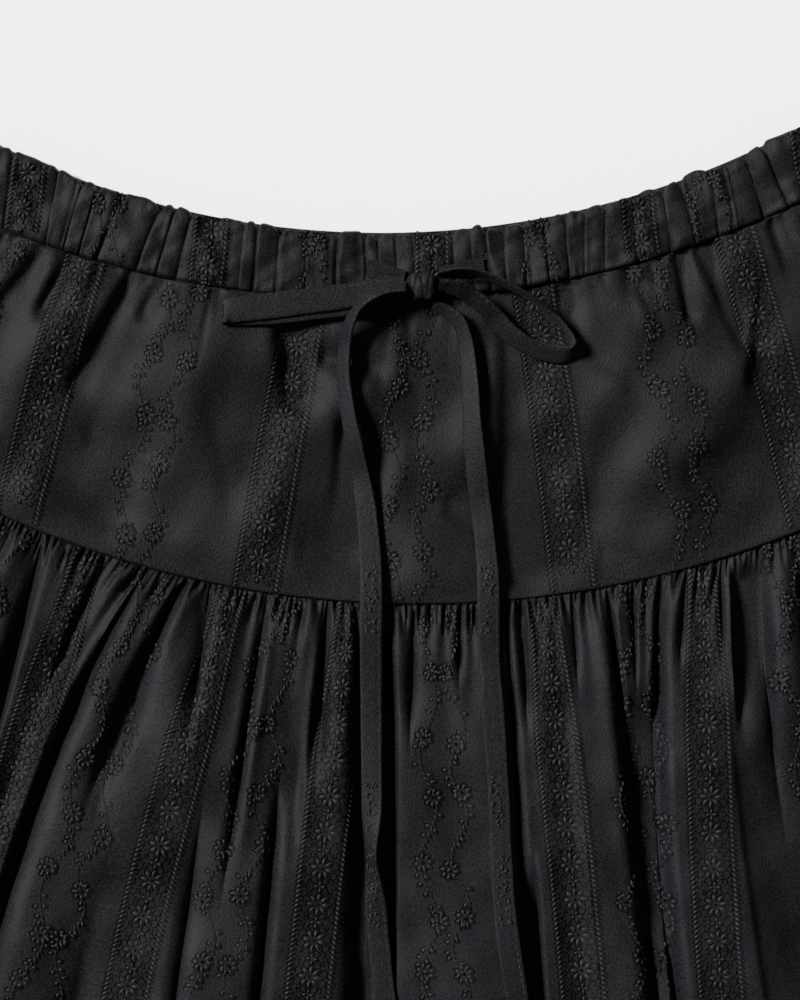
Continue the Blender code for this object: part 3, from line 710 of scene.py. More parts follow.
@dataclass
class WaistbandFront(Casing):
    """The gathered casing across the front, round along both edges, its elastic inside."""

    puff: float = 1.3
    round_run: float = 4.2
    sharp_side: tuple[float, float] = (0.9, 1.9)
    soft_side: tuple[float, float] = (2.5, 7.0)
    deepen: float = 2.05
    scallop: float = 2.3
    notch: float = 1.3
    bulge: float = 1.1
    edge_reach: float = 3.0
    deepest: float = 1.9
    groove_seed: int = 77
    base: float = BAND_REST + CASING - 0.4
    underside_round: float = 1.1
    gathers: Streaks = Streaks(21, 88, 187.0, (0.5, 1.3), (0.1, 0.8), (3.0, 18.0))
    crumple: Ripple = Ripple(23, 0.85, 6.0, 32.0)

    def plan(self, u: np.ndarray, down: np.ndarray) -> tuple[np.ndarray, np.ndarray]:
        """Plan place, with the gathers leaning from the top edge to the seam."""
        foot = np.interp(u, PUCKER_TOPS, PUCKER_FEET)
        return super().plan(u + (foot - u) * down / self.length, down)

    def share(self, x: np.ndarray, y: np.ndarray) -> tuple[np.ndarray, np.ndarray]:
        """The inverse of plan, with the lean undone."""
        leant, down = super().share(x, y)
        top = np.interp(leant, PUCKER_FEET, PUCKER_TOPS)
        return leant + (top - leant) * np.clip(down / self.length, 0.0, 1.0), down

    def grooves(self, place: np.ndarray, down: np.ndarray) -> np.ndarray:
        """Depth of the gathers: each is sharp on one side, soft on the other, and fades in its own way."""
        random = np.random.default_rng(self.groove_seed)
        t = np.clip(down / self.length, 0.0, 1.0)
        total = 0.0
        for pucker, at in zip(PUCKERS, PUCKER_TOPS[1:-1] * WAIST_TOP.half):
            sharp, soft = random.uniform(*self.sharp_side), random.uniform(*self.soft_side)
            left, right = (sharp, soft) if random.uniform() < 0.5 else (soft, sharp)
            top, foot, middle = (random.uniform(*span) for span in ((0.5, 1.1), (0.6, 1.2), (0.15, 0.8)))
            held = np.interp(t, (0.0, 0.5, 1.0), (top, middle, foot))
            shape = dip(place - at, np.where(place < at, left, right))
            total = np.maximum(total, self.deepen * pucker.depth * held * shape)
        return total

    def height(self, u: np.ndarray, down: np.ndarray, x: np.ndarray, y: np.ndarray) -> np.ndarray:
        """The casing's round back with its crumples, less its grooves and small gathers."""
        to_foot = self.length - down
        loft = -self.puff * dip(down, self.round_run) - 1.4 * dip(down, 1.2)
        loft = loft + self.puff * (1.0 - dip(to_foot, 2.6)) - 0.9 * dip(to_foot, 0.9)
        place = u * WAIST_TOP.half
        loft = loft + self.crumple.relief(x, y) - self.grooves(place, down)
        loft = loft - self.gathers.relief(place, down) - self.gathers.relief(place, to_foot)
        end = (1.0 - np.abs(u)) * WAIST_TOP.half
        return self.base + np.maximum(loft, -self.deepest) - 1.6 * dip(end, 5.0)

    def edge_shift(self, u: np.ndarray, down: np.ndarray, x: np.ndarray) -> np.ndarray:
        """The top edge's scallops: it bulges unevenly and is drawn in at each groove."""
        place = u * WAIST_TOP.half
        notches = sum(
            p.depth * np.exp(-(((place - at) / self.notch) ** 2))
            for p, at in zip(PUCKERS, PUCKER_TOPS[1:-1] * WAIST_TOP.half)
        )
        shift = self.bulge * self.crumple.relief(x, 0.0 * x) - self.scallop * notches
        return shift * np.exp(-((down / self.edge_reach) ** 2))

    def plain_face(self, turned_in: np.ndarray) -> np.ndarray:
        """The underside, which lies on the back casing."""
        return BAND_REST + self.underside_round * turned_in


@dataclass
class BackPanel(Panel):
    """A back panel under the skirt's weight: its outer face is down, with shallow gathers."""

    rest: float = 0.35
    relief_limit: float = 1.15
    gathers: Streaks = Streaks(31, 84, 236.0, (1.2, 1.9), (0.8, 1.2), (120.0, 600.0))

    def height(self, u: np.ndarray, down: np.ndarray, x: np.ndarray, y: np.ndarray) -> np.ndarray:
        """Just over the surface it lies on, with the gathers pressed up into it."""
        rise = np.minimum(self.gathers.relief(u * self.upper.half, down), self.relief_limit)
        edge = (1.0 - np.abs(u)) * self.upper.half
        return self.rest + rise * smooth(edge / 6.0) + 0.1 * dip(edge, 2.0)


@dataclass
class WaistbandBack(Casing):
    """The gathered casing across the back, under the front one."""

    rest: float = 0.2
    puff: float = 1.0
    deepest: float = 1.1
    highest: float = 1.4
    top_round: float = 0.9
    gathers: Streaks = Streaks(41, 58, 187.0, (1.2, 2.4), (0.4, 0.95), (60.0, 120.0))

    def height(self, u: np.ndarray, down: np.ndarray, x: np.ndarray, y: np.ndarray) -> np.ndarray:
        """The underside's height: low in the middle, round at both edges, grooved by the gathers."""
        to_edge = np.minimum(down, self.length - down)
        rise = self.puff * dip(to_edge, 5.0)
        groove = np.minimum(self.gathers.relief(u * self.upper.half, down), self.deepest)
        end = (1.0 - np.abs(u)) * WAIST_TOP.half
        raised = np.minimum(rise + groove * (1.0 - 0.6 * dip(to_edge, 4.0)), self.highest)
        return self.rest + raised * (1.0 - dip(end, 4.0))

    def plain_face(self, turned_in: np.ndarray) -> np.ndarray:
        """The top, which the front casing lies on."""
        return CASING - self.top_round * turned_in


class Signal:
    """A socket that takes part in sums: each operator adds the Math node that it means."""

    def __init__(self, paint: "Paint", socket: bpy.types.NodeSocket) -> None:
        """Keeps the socket and the material it belongs to."""
        self.paint = paint
        self.socket = socket

    def _math(self, operation: str, *values: "Signal | float") -> "Signal":
        """A Math node over its values."""
        node = self.paint.node("ShaderNodeMath", {"operation": operation}, dict(enumerate(values)))
        return Signal(self.paint, node.outputs[0])

    def __add__(self, other: "Signal | float") -> "Signal":
        """This plus another."""
        return self._math("ADD", self, other)

    def __mul__(self, other: "Signal | float") -> "Signal":
        """This times another."""
        return self._math("MULTIPLY", self, other)

    def within(self, low: float, high: float) -> "Signal":
        """0 at low, 1 at high, straight between and held outside."""
        inputs = {"Value": self, "From Min": low, "From Max": high}
        node = self.paint.node("ShaderNodeMapRange", {"clamp": True}, inputs)
        return Signal(self.paint, node.outputs["Result"])


class Paint:
    """A material's node tree, built node by node."""

    def __init__(self, name: str) -> None:
        """Starts a material with its usual shader."""
        self.material = bpy.data.materials.new(name)
        self.material.use_nodes = True
        self.tree = self.material.node_tree
        self.shader = self.tree.nodes["Principled BSDF"]

    def node(
        self,
        kind: str,
        settings: dict[str, object] | None = None,
        inputs: dict[str | int, object] | None = None,
    ) -> bpy.types.Node:
        """Adds a node.

        Args:
            kind: the node's type.
            settings: its own properties, set before its sockets.
            inputs: values or signals for its sockets, by name or number.
        Returns:
            The node.
        """
        node = self.tree.nodes.new(kind)
        for key, value in (settings or {}).items():
            setattr(node, key, value)
        for key, value in (inputs or {}).items():
            self.feed(node.inputs[key], value)
        return node

    def feed(self, socket: bpy.types.NodeSocket, value: object) -> None:
        """Links a signal to a socket, or sets the socket's own value."""
        if isinstance(value, Signal):
            self.tree.links.new(value.socket, socket)
        else:
            socket.default_value = value

    def stretched(self, source: bpy.types.NodeSocket, scale: tuple[float, float, float]) -> Signal:
        """A vector stretched by a scale."""
        mapped = self.node("ShaderNodeMapping", {}, {"Vector": Signal(self, source), "Scale": scale})
        return Signal(self, mapped.outputs[0])

    def coordinates(self, scale: tuple[float, float, float] = (1.0, 1.0, 1.0)) -> Signal:
        """The piece's Object coordinates in metres, stretched by a scale."""
        return self.stretched(self.node("ShaderNodeTexCoord").outputs["Object"], scale)

    def across_cloth(self, scale: tuple[float, float, float] = (1.0, 1.0, 1.0)) -> Signal:
        """The piece's own map, metres across and along the cloth, stretched by a scale."""
        return self.stretched(self.node("ShaderNodeUVMap", {"uv_map": CLOTH_UV}).outputs[0], scale)

    def noise(self, where: Signal, scale: float, detail: float = 2.0, rough: float = 0.5) -> Signal:
        """A noise value from 0 to 1."""
        inputs = {"Vector": where, "Scale": scale, "Detail": detail, "Roughness": rough}
        return Signal(self, self.node("ShaderNodeTexNoise", {}, inputs).outputs[0])

    def wave(self, where: Signal, scale: float, direction: str, distortion: float = 0.0) -> Signal:
        """A band of fine ribs along X or Y."""
        settings = {"wave_type": "BANDS", "bands_direction": direction}
        inputs = {"Vector": where, "Scale": scale, "Distortion": distortion, "Detail": 1.0}
        return Signal(self, self.node("ShaderNodeTexWave", settings, inputs).outputs[1])

    def colour(self, factor: Signal, low: tuple[float, ...], high: tuple[float, ...]) -> None:
        """Feeds the shader a colour between two, by a factor."""
        inputs = {0: factor, 6: (*low, 1.0), 7: (*high, 1.0)}
        node = self.node("ShaderNodeMix", {"data_type": "RGBA"}, inputs)
        self.feed(self.shader.inputs["Base Color"], Signal(self, node.outputs[2]))

    def roughness(self, factor: Signal, low: float, high: float) -> None:
        """Feeds the shader a roughness between two, by a factor."""
        self.feed(self.shader.inputs["Roughness"], factor * (high - low) + low)

    def bump(self, height: Signal, strength: float, distance: float) -> None:
        """Feeds a height, as a bump, to the shader's normal."""
        inputs = {"Strength": strength, "Distance": distance, "Height": height}
        node = self.node("ShaderNodeBump", {}, inputs)
        self.feed(self.shader.inputs["Normal"], Signal(self, node.outputs[0]))

    def constants(self, **values: float) -> None:
        """Sets the shader's own sockets, named with underscores for spaces."""
        for key, value in values.items():
            self.shader.inputs[key.replace("_", " ")].default_value = value


@dataclass(frozen=True)
class CottonFinish:
    """Black cotton sateen: an even weave, slightly slubbed warp, soft lustre and a little lint."""

    name: str = "black_cotton"
    dark: tuple[float, float, float] = (0.0030, 0.0030, 0.0044)
    light: tuple[float, float, float] = (0.0160, 0.0164, 0.0198)
    roughness: tuple[float, float] = (0.50, 0.68)
    warp_per_metre: float = 1500.0
    grain_per_metre: float = 1300.0
    weft_per_metre: float = 620.0
    bump_depth: float = 0.0002

    def material(self) -> bpy.types.Material:
        """Builds the finish."""
        paint = Paint(self.name)
        slub = paint.noise(paint.across_cloth((1.0, 0.55, 1.0)), self.grain_per_metre, 2.0)
        grain = paint.noise(paint.coordinates(), self.warp_per_metre, 1.0)
        fade = paint.noise(paint.coordinates(), 26.0, 3.0)
        tone = (slub * 0.6 + grain * 0.8 + fade * 0.5).within(0.80, 1.11)
        lint = paint.noise(paint.coordinates(), 420.0, 0.0).within(0.80, 0.86)
        paint.colour(tone + lint * 0.9, self.dark, self.light)
        paint.roughness(grain, *self.roughness)
        crumple = paint.noise(paint.coordinates(), 190.0, 3.0, 0.6)
        weft = paint.wave(paint.across_cloth(), self.weft_per_metre, "Y", 1.5)
        paint.bump(crumple * 1.1 + slub * 0.6 + grain * 0.9 + weft * 0.06, 1.0, self.bump_depth)
        paint.constants(Sheen_Weight=0.02, Sheen_Roughness=0.4, Specular_IOR_Level=0.19)
        return paint.material


@dataclass(frozen=True)
class ThreadFinish:
    """Black embroidery thread: a low satin lustre over fine twisted strands."""

    name: str = "black_thread"
    dark: tuple[float, float, float] = (0.0066, 0.0068, 0.0090)
    light: tuple[float, float, float] = (0.0460, 0.0469, 0.0540)
    roughness: tuple[float, float] = (0.48, 0.64)

    def material(self) -> bpy.types.Material:
        """Builds the finish."""
        paint = Paint(self.name)
        twist = paint.noise(paint.coordinates((1.0, 1.0, 2.0)), 1700.0, 2.0)
        wear = paint.noise(paint.coordinates(), 60.0, 2.0)
        tone = (twist * 0.6 + wear * 0.4).within(0.36, 0.64)
        paint.colour(tone, self.dark, self.light)
        paint.roughness(twist, *self.roughness)
        paint.bump(twist, 0.9, 0.00012)
        paint.constants(Sheen_Weight=0.06, Specular_IOR_Level=0.3)
        return paint.material


@dataclass(frozen=True)
class PaintedShadeFinish:
    """Painted shade: a near-black finish that stands for the shadow inside eyelets, buttonholes, slits and
    needle holes, and in the gaps between threads.
    """

    name: str = "eyelet_shadow"
    # painted shade: near-black colours for shadow in holes and gaps, darker than the cloth itself
    dark: tuple[float, float, float] = (0.001, 0.001, 0.0012)
    light: tuple[float, float, float] = (0.004, 0.004, 0.0045)

    def material(self) -> bpy.types.Material:
        """Builds the finish."""
        paint = Paint(self.name)
        paint.colour(paint.noise(paint.coordinates(), 2500.0, 1.0), self.dark, self.light)
        paint.constants(Roughness=0.95, Specular_IOR_Level=0.1)
        return paint.material


@dataclass(frozen=True)
class FloorFinish:
    """A matt pale ground."""

    name: str = "pale_ground"
    colour: tuple[float, float, float] = (0.86, 0.865, 0.85)

    def material(self) -> bpy.types.Material:
        """Builds the finish."""
        paint = Paint(self.name)
        paint.constants(Base_Color=(*self.colour, 1.0), Roughness=0.9, Specular_IOR_Level=0.2)
        return paint.material


@dataclass(frozen=True)
class StripeLine:
    """A stripe's middle line: its X at a panel's top, halfway and at its foot."""

    top: float
    middle: float
    foot: float


@dataclass(frozen=True)
class StripePlan:
    """Where the stripes of a panel run, and how they open out.

    They are tight_top of their full width at the top and tight_foot from open_run down.
    """

    ladders: tuple[StripeLine, ...]
    vines: tuple[StripeLine, ...]
    tight_top: float
    tight_foot: float
    open_run: float


class StripeFrame:
    """A stripe laid on a panel: places across and along it become plan places."""

    samples = 90
    smoothing = 12
    margin = 0.4

    def __init__(self, panel: Panel, line: StripeLine, plan: StripePlan) -> None:
        """Reads the middle line as a curve in plan, evened out at its bend."""
        self.panel = panel
        t = np.linspace(0.0, 1.0, self.samples)
        x = np.interp(t, (0.0, 0.5, 1.0), (line.top, line.middle, line.foot))
        count = 2 * self.smoothing + 1
        x = np.pad(x, self.smoothing, mode="reflect", reflect_type="odd")
        x = np.convolve(x, np.ones(count) / count, mode="valid")
        ring = panel.upper.towards(panel.lower, t)
        self.path = np.stack([x, ring.y_at_angle(ring.angle_at(x))], axis=-1)
        self.run = run_along(self.path)
        self.way = unit(np.gradient(self.path, axis=0))
        opened = smooth(self.run / plan.open_run)
        self.tight = plan.tight_top + (plan.tight_foot - plan.tight_top) * opened

    @property
    def length(self) -> float:
        """The stripe's length in millimetres."""
        return float(self.run[-1])

    def place(self, across: np.ndarray, along: np.ndarray) -> tuple[np.ndarray, np.ndarray, np.ndarray]:
        """Plan places of stripe places, and the angle at which the stripe runs there.

        Args:
            across: millimetres to the right of the middle line, looking down it.
            along: millimetres down it.
        Returns:
            X, Y and angle.
        """
        along = np.clip(along, self.margin, self.length - self.margin)
        known = (*self.path.T, *self.way.T, self.tight)
        x, y, wx, wy, tight = (np.interp(along, self.run, column) for column in known)
        x, y = self.panel.inside(x - across * tight * wy, y + across * tight * wx)
        return x, y, np.arctan2(wy, wx)

    def on_cloth(self, across: np.ndarray, along: np.ndarray) -> tuple[np.ndarray, np.ndarray, np.ndarray]:
        """Points of the cloth at stripe places, the way it faces there and the stripe's angle."""
        x, y, angle = self.place(across, along)
        return *self.panel.surface(x, y), angle

    def around(
        self, across: np.ndarray, along: np.ndarray, reach: float, way: np.ndarray
    ) -> tuple[np.ndarray, np.ndarray, np.ndarray]:
        """Places on a ring about each stripe place, and the plan angle that points outwards.

        Args:
            across: the rings' middles across the stripe.
            along: and along it.
            reach: the ring's radius.
            way: turns from the stripe's own way, one row for all rings or one for each.
        Returns:
            Points, the way the cloth faces and the outward angle, one row for each place.
        """
        out = np.broadcast_to(way, (len(along), np.shape(way)[-1]))
        across, along = across[:, None] + reach * np.sin(out), along[:, None] + reach * np.cos(out)
        x, y, angle = self.place(across, along)
        return *self.panel.surface(x.ravel(), y.ravel()), (angle + out).ravel()

    def outlines(
        self,
        across: np.ndarray,
        along: np.ndarray,
        reach: float,
        way: np.ndarray,
        long: float,
        wide: float,
        corners: int = 5,
    ) -> tuple[np.ndarray, np.ndarray]:
        """Open loops around petals that stand on a ring about each stripe place.

        Args:
            across: the rings' middles across the stripe.
            along: and along it.
            reach: from a ring's middle to a petal's.
            way: the petals' turns from the stripe's own way.
            long: half a petal's length.
            wide: half its width.
            corners: how many points a loop has.
        Returns:
            Lines on the cloth, as (loops, points, 3), and the way it faces.
        """
        out = np.broadcast_to(way, (len(along), np.shape(way)[-1]))[..., None]
        bend = np.linspace(-2.3, 2.3, corners)
        far, off = reach + long * np.cos(bend), wide * np.sin(bend)
        x, y, _ = self.place(
            across[:, None, None] + far * np.sin(out) + off * np.cos(out),
            along[:, None, None] + far * np.cos(out) - off * np.sin(out),
        )
        return self.panel.surface(x.reshape(-1, len(bend)), y.reshape(-1, len(bend)))


def ways_on(facing: np.ndarray, angle: np.ndarray) -> tuple[np.ndarray, np.ndarray]:
    """The way on the cloth that a plan angle gives, and the way across it."""
    flat = np.stack([np.cos(angle), np.sin(angle), np.zeros_like(angle)], axis=-1)
    long_way = unit(flat - (flat * facing).sum(-1, keepdims=True) * facing)
    return long_way, np.cross(facing, long_way)


class ThreadWork:
    """Collects the threads of one piece of embroidery, or its dark marks of painted shade: strands along
    lines, and satin beads.
    """

    def __init__(self) -> None:
        """Starts with nothing sewn."""
        self.points: list[np.ndarray] = []
        self.faces: list[np.ndarray] = []
        self.total = 0

    def _add(self, points: np.ndarray, faces: Sequence[np.ndarray]) -> None:
        """Keeps a block of points and its faces."""
        self.points.append(points.reshape(-1, 3))
        self.faces.extend(block + self.total for block in faces)
        self.total += len(self.points[-1])

    def strands(
        self, points: np.ndarray, facing: np.ndarray, width: float, height: float, sink: float = 0.25
    ) -> None:
        """Threads along lines, here only the dark outlines of painted shade for the gaps between threads: a
        three-sided section, wide at the cloth and peaked above, closed.

        Args:
            points: lines on the cloth, as (lines, points, 3).
            facing: the way the cloth faces at each.
            width: the thread's width.
            height: how far it stands up.
            sink: how far its foot lies in the cloth.
        """
        lines, count = points.shape[:2]
        run = unit(np.gradient(points, axis=1))
        side = unit(np.cross(facing, run))
        swell = np.sin(np.linspace(0.06, math.pi - 0.06, count)) * 2.4
        taper = np.sqrt(np.clip(swell, 0.0, 1.0))[None, :, None]
        left = points + side * width / 2 * taper - facing * sink
        right = points - side * width / 2 * taper - facing * sink
        ridge = points + facing * height * taper
        block = np.stack([left, ridge, right], axis=2)
        start = np.arange(lines)[:, None, None] * count * 3
        k = np.arange(count - 1)[None, :, None] * 3
        i = np.arange(3)[None, None, :]
        j = (i + 1) % 3
        quads = np.stack([start + k + i, start + k + j, start + k + 3 + j, start + k + 3 + i], axis=-1)
        head = start[:, :, 0] + np.array([0, 2, 1])
        tail = start[:, :, 0] + (count - 1) * 3 + np.array([0, 1, 2])
        self._add(block, [quads.reshape(-1, 4), head, tail])

    def beads(
        self,
        points: np.ndarray,
        facing: np.ndarray,
        angle: np.ndarray,
        length: np.ndarray | float,
        width: np.ndarray | float,
        height: float,
        sink: float = 0.2,
    ) -> None:
        """Satin-stitched beads, leaves and petals, and dark eyelets and buttonhole slits of painted shade:
        closed domes on an oval foot.

        Args:
            points: their middles on the cloth, as (beads, 3).
            facing: the way the cloth faces at each.
            angle: the plan angle of each one's long way.
            length: along the long way.
            width: across it.
            height: how far they stand up.
            sink: how far their foot lies in the cloth.
        """
        sides = 6
        long_way, wide_way = ways_on(facing, angle)
        turn = turns(sides)
        rings = [(1.0, -sink), (0.74, height * 0.68)]
        long_half = np.broadcast_to(np.asarray(length) / 2, angle.shape)[:, None, None]
        wide_half = np.broadcast_to(np.asarray(width) / 2, angle.shape)[:, None, None]
        blocks = [
            points[:, None, :]
            + long_way[:, None, :] * long_half * (share * np.cos(turn))[None, :, None]
            + wide_way[:, None, :] * wide_half * (share * np.sin(turn))[None, :, None]
            + facing[:, None, :] * rise
            for share, rise in rings
        ]
        blocks.append((points + facing * height)[:, None, :])
        block = np.concatenate(blocks, axis=1)
        start = np.arange(len(points))[:, None, None] * (2 * sides + 1)
        a = np.arange(sides)[None, :, None]
        b = (a + 1) % sides
        quads = start + np.concatenate([a, b, b + sides, a + sides], axis=2)
        top = np.full_like(a, 2 * sides)
        caps = start + np.concatenate([a + sides, b + sides, top], axis=2)
        foot = start[:, 0, :] + np.arange(sides)[::-1][None, :]
        self._add(block, [quads.reshape(-1, 4), caps.reshape(-1, 3), foot])

    def stitches(
        self,
        points: np.ndarray,
        facing: np.ndarray,
        angle: np.ndarray,
        length: float,
        width: float,
        height: float,
    ) -> None:
        """Single stitches, or dark slits and needle holes of painted shade: small closed hipped forms, four
        corners and a ridge.

        Args:
            points: their middles on the cloth, as (stitches, 3).
            facing: the way the cloth faces at each.
            angle: the plan angle of each one's long way.
            length: along the long way.
            width: across it.
            height: how far the ridge stands up.
        """
        long_way, wide_way = ways_on(facing, angle)
        foot = [(a, b, -STITCH_SINK) for a, b in ((-0.5, -0.5), (0.5, -0.5), (0.5, 0.5), (-0.5, 0.5))]
        corners = (*foot, (-0.28, 0.0, height), (0.28, 0.0, height))
        block = np.stack(
            [points + long_way * a * length + wide_way * b * width + facing * c for a, b, c in corners],
            axis=1,
        )
        start = np.arange(len(points))[:, None] * len(corners)
        quads = [start + np.array(side) for side in ((3, 2, 1, 0), (0, 1, 5, 4), (2, 3, 4, 5))]
        ends = [start + np.array(side) for side in ((1, 2, 5), (3, 0, 4))]
        self._add(block, [np.concatenate(quads), np.concatenate(ends)])

    def sewn(self, name: str) -> bpy.types.Object:
        """The collected threads as one object."""
        return mesh_piece(name, np.concatenate(self.points), self.faces, sharp=75.0)


@dataclass(frozen=True)
class Loop:
    """A dark outline of painted shade, for the gap beside a thread: its ring's radius, half its length,
    half its width, its rise and corners.
    """

    reach: float
    half_long: float
    half_wide: float
    rise: float = 0.36
    corners: int = 5


@dataclass(frozen=True)
class Petal:
    """A satin petal or leaf on a ring: the ring's radius, its length, its width and its outline."""

    reach: float
    length: float
    width: float
    loop: Loop


@dataclass(frozen=True)
class Sewing:
    """One stripe's work: its satin threads, its dark threads of painted shade for holes and gaps, and where
    it lies.
    """

    satin: ThreadWork
    dark: ThreadWork
    frame: StripeFrame


@dataclass(frozen=True)
class Stripe:
    """A kind of embroidered stripe, sewn in full or with its main stitches only."""

    rise: float = 0.5
    gap: float = 0.5
    petals: int = 8
    full: bool = True
    dark_rise: float = 0.36

    def sew(self, sewing: Sewing, seed: int) -> None:
        """Embroiders the stripe from its top to its foot; each kind has its own way."""
        raise NotImplementedError

    def sew_petals(
        self, sewing: Sewing, across: np.ndarray, along: np.ndarray, way: np.ndarray, petal: Petal
    ) -> None:
        """Satin petals in dark outlines of painted shade, on a ring about each stripe place.

        Args:
            sewing: the stripe's work.
            across: the rings' middles across the stripe.
            along: and along it.
            way: the petals' turns from the stripe's own way.
            petal: their sizes.
        """
        petals = sewing.frame.around(across, along, petal.reach, way)
        sewing.satin.beads(*petals, petal.length, petal.width, self.rise)
        self.sew_loops(sewing, across, along, way, petal.loop)

    def sew_loops(
        self, sewing: Sewing, across: np.ndarray, along: np.ndarray, way: np.ndarray, loop: Loop
    ) -> None:
        """Dark loops of painted shade on a ring about each stripe place; what it takes is as for the
        petals.
        """
        size = (loop.half_long, loop.half_wide, loop.corners)
        outlines = sewing.frame.outlines(across, along, loop.reach, way, *size)
        sewing.dark.strands(*outlines, self.gap, loop.rise)

    def sew_holes(self, sewing: Sewing, across: np.ndarray, along: np.ndarray, width: float) -> None:
        """A round eyelet at each stripe place: a dark dome of painted shade for the shadow in its hole."""
        points, facing, angle = sewing.frame.on_cloth(across, along)
        sewing.dark.beads(points, facing, angle, width, width, self.dark_rise)


@dataclass(frozen=True)
class Ladder(Stripe):
    """A straight stripe: star medallions and small crosses between two rope-like edges."""

    pitch: float = 14.4
    half: float = 8.3
    bead_step: float = 1.95
    bead: tuple[float, float] = (2.2, 1.2)
    # the petals' loops, the scallops and the side leaves are dark outlines of painted shade
    star: Petal = Petal(3.0, 3.0, 1.4, Loop(3.1, 2.3, 1.25, corners=6))
    scallop: Loop = Loop(5.6, 1.35, 1.75, 0.34)
    cross: Petal = Petal(1.5, 1.9, 1.1, Loop(1.6, 1.2, 0.85, 0.34))
    side_leaf: Loop = Loop(2.2, 1.5, 0.95, 0.34)

    def sew(self, sewing: Sewing, seed: int) -> None:
        """Embroiders the stripe from its top to its foot; a plain one has its main stitches only."""
        length = sewing.frame.length
        centres = np.arange(self.pitch * 0.4, length - self.pitch * 0.25, self.pitch)
        turn = np.random.default_rng(seed).uniform(-0.2, 0.2, (len(centres), 1))
        way = turns(self.petals)[None, :] + turn
        if not self.full:
            stars = sewing.frame.around(0 * centres, centres, self.star.reach, way)
            sewing.satin.stitches(*stars, 2.6, 1.0, self.rise)
            along = np.arange(1.0, length - 1.0, 2 * self.bead_step)
            for side in (-1.0, 1.0):
                edge = sewing.frame.on_cloth(np.full_like(along, side * self.half), along)
                sewing.satin.stitches(*edge, 2.2, 0.9, self.rise)
            return
        self.sew_edges(sewing)
        self.sew_stars(sewing, centres, way)
        self.sew_crosses(sewing, centres + self.pitch / 2)

    def sew_edges(self, sewing: Sewing) -> None:
        """A rope of leaning beads along each edge, with dark stitches of painted shade between them and
        beside them.
        """
        frame = sewing.frame
        along = np.arange(1.0, frame.length - 1.0, self.bead_step)
        for side in (-1.0, 1.0):
            edge = np.full_like(along, side * self.half)
            points, facing, angle = frame.on_cloth(edge, along)
            sewing.satin.beads(points, facing, angle + side, *self.bead, self.rise)
            # painted shade: dark stitches for the needle holes between and beside the beads
            points, facing, angle = frame.on_cloth(edge, along + self.bead_step / 2)
            sewing.dark.stitches(points, facing, angle + side, 2.9, self.gap, 0.38)
            for beside, lean in ((-1.5, -0.35), (1.35, 0.45)):
                points, facing, angle = frame.on_cloth(edge + side * beside, along)
                sewing.dark.stitches(points, facing, angle + side * lean, 1.7, self.gap, self.dark_rise)

    def sew_stars(self, sewing: Sewing, centres: np.ndarray, way: np.ndarray) -> None:
        """Eight-petalled stars: satin petals in dark outlines, scallops round them and an eyelet in each;
        the outlines, scallops and eyelets are painted shade.
        """
        middle = 0 * centres
        self.sew_petals(sewing, middle, centres, way, self.star)
        self.sew_loops(sewing, middle, centres, way + math.pi / self.petals, self.scallop)
        self.sew_holes(sewing, middle, centres, 1.3)

    def sew_crosses(self, sewing: Sewing, centres: np.ndarray) -> None:
        """A cross of four small petals in dark outlines between each two stars, and dark leaf outlines
        beside it; the outlines are painted shade.
        """
        middle = 0 * centres
        self.sew_petals(sewing, middle, centres, turns(4)[None, :], self.cross)
        for side in (-1.0, 1.0):
            lean = side * np.array([[0.7, 1.57, 2.44]])
            self.sew_loops(sewing, middle + side * 2.6, centres, lean, self.side_leaf)


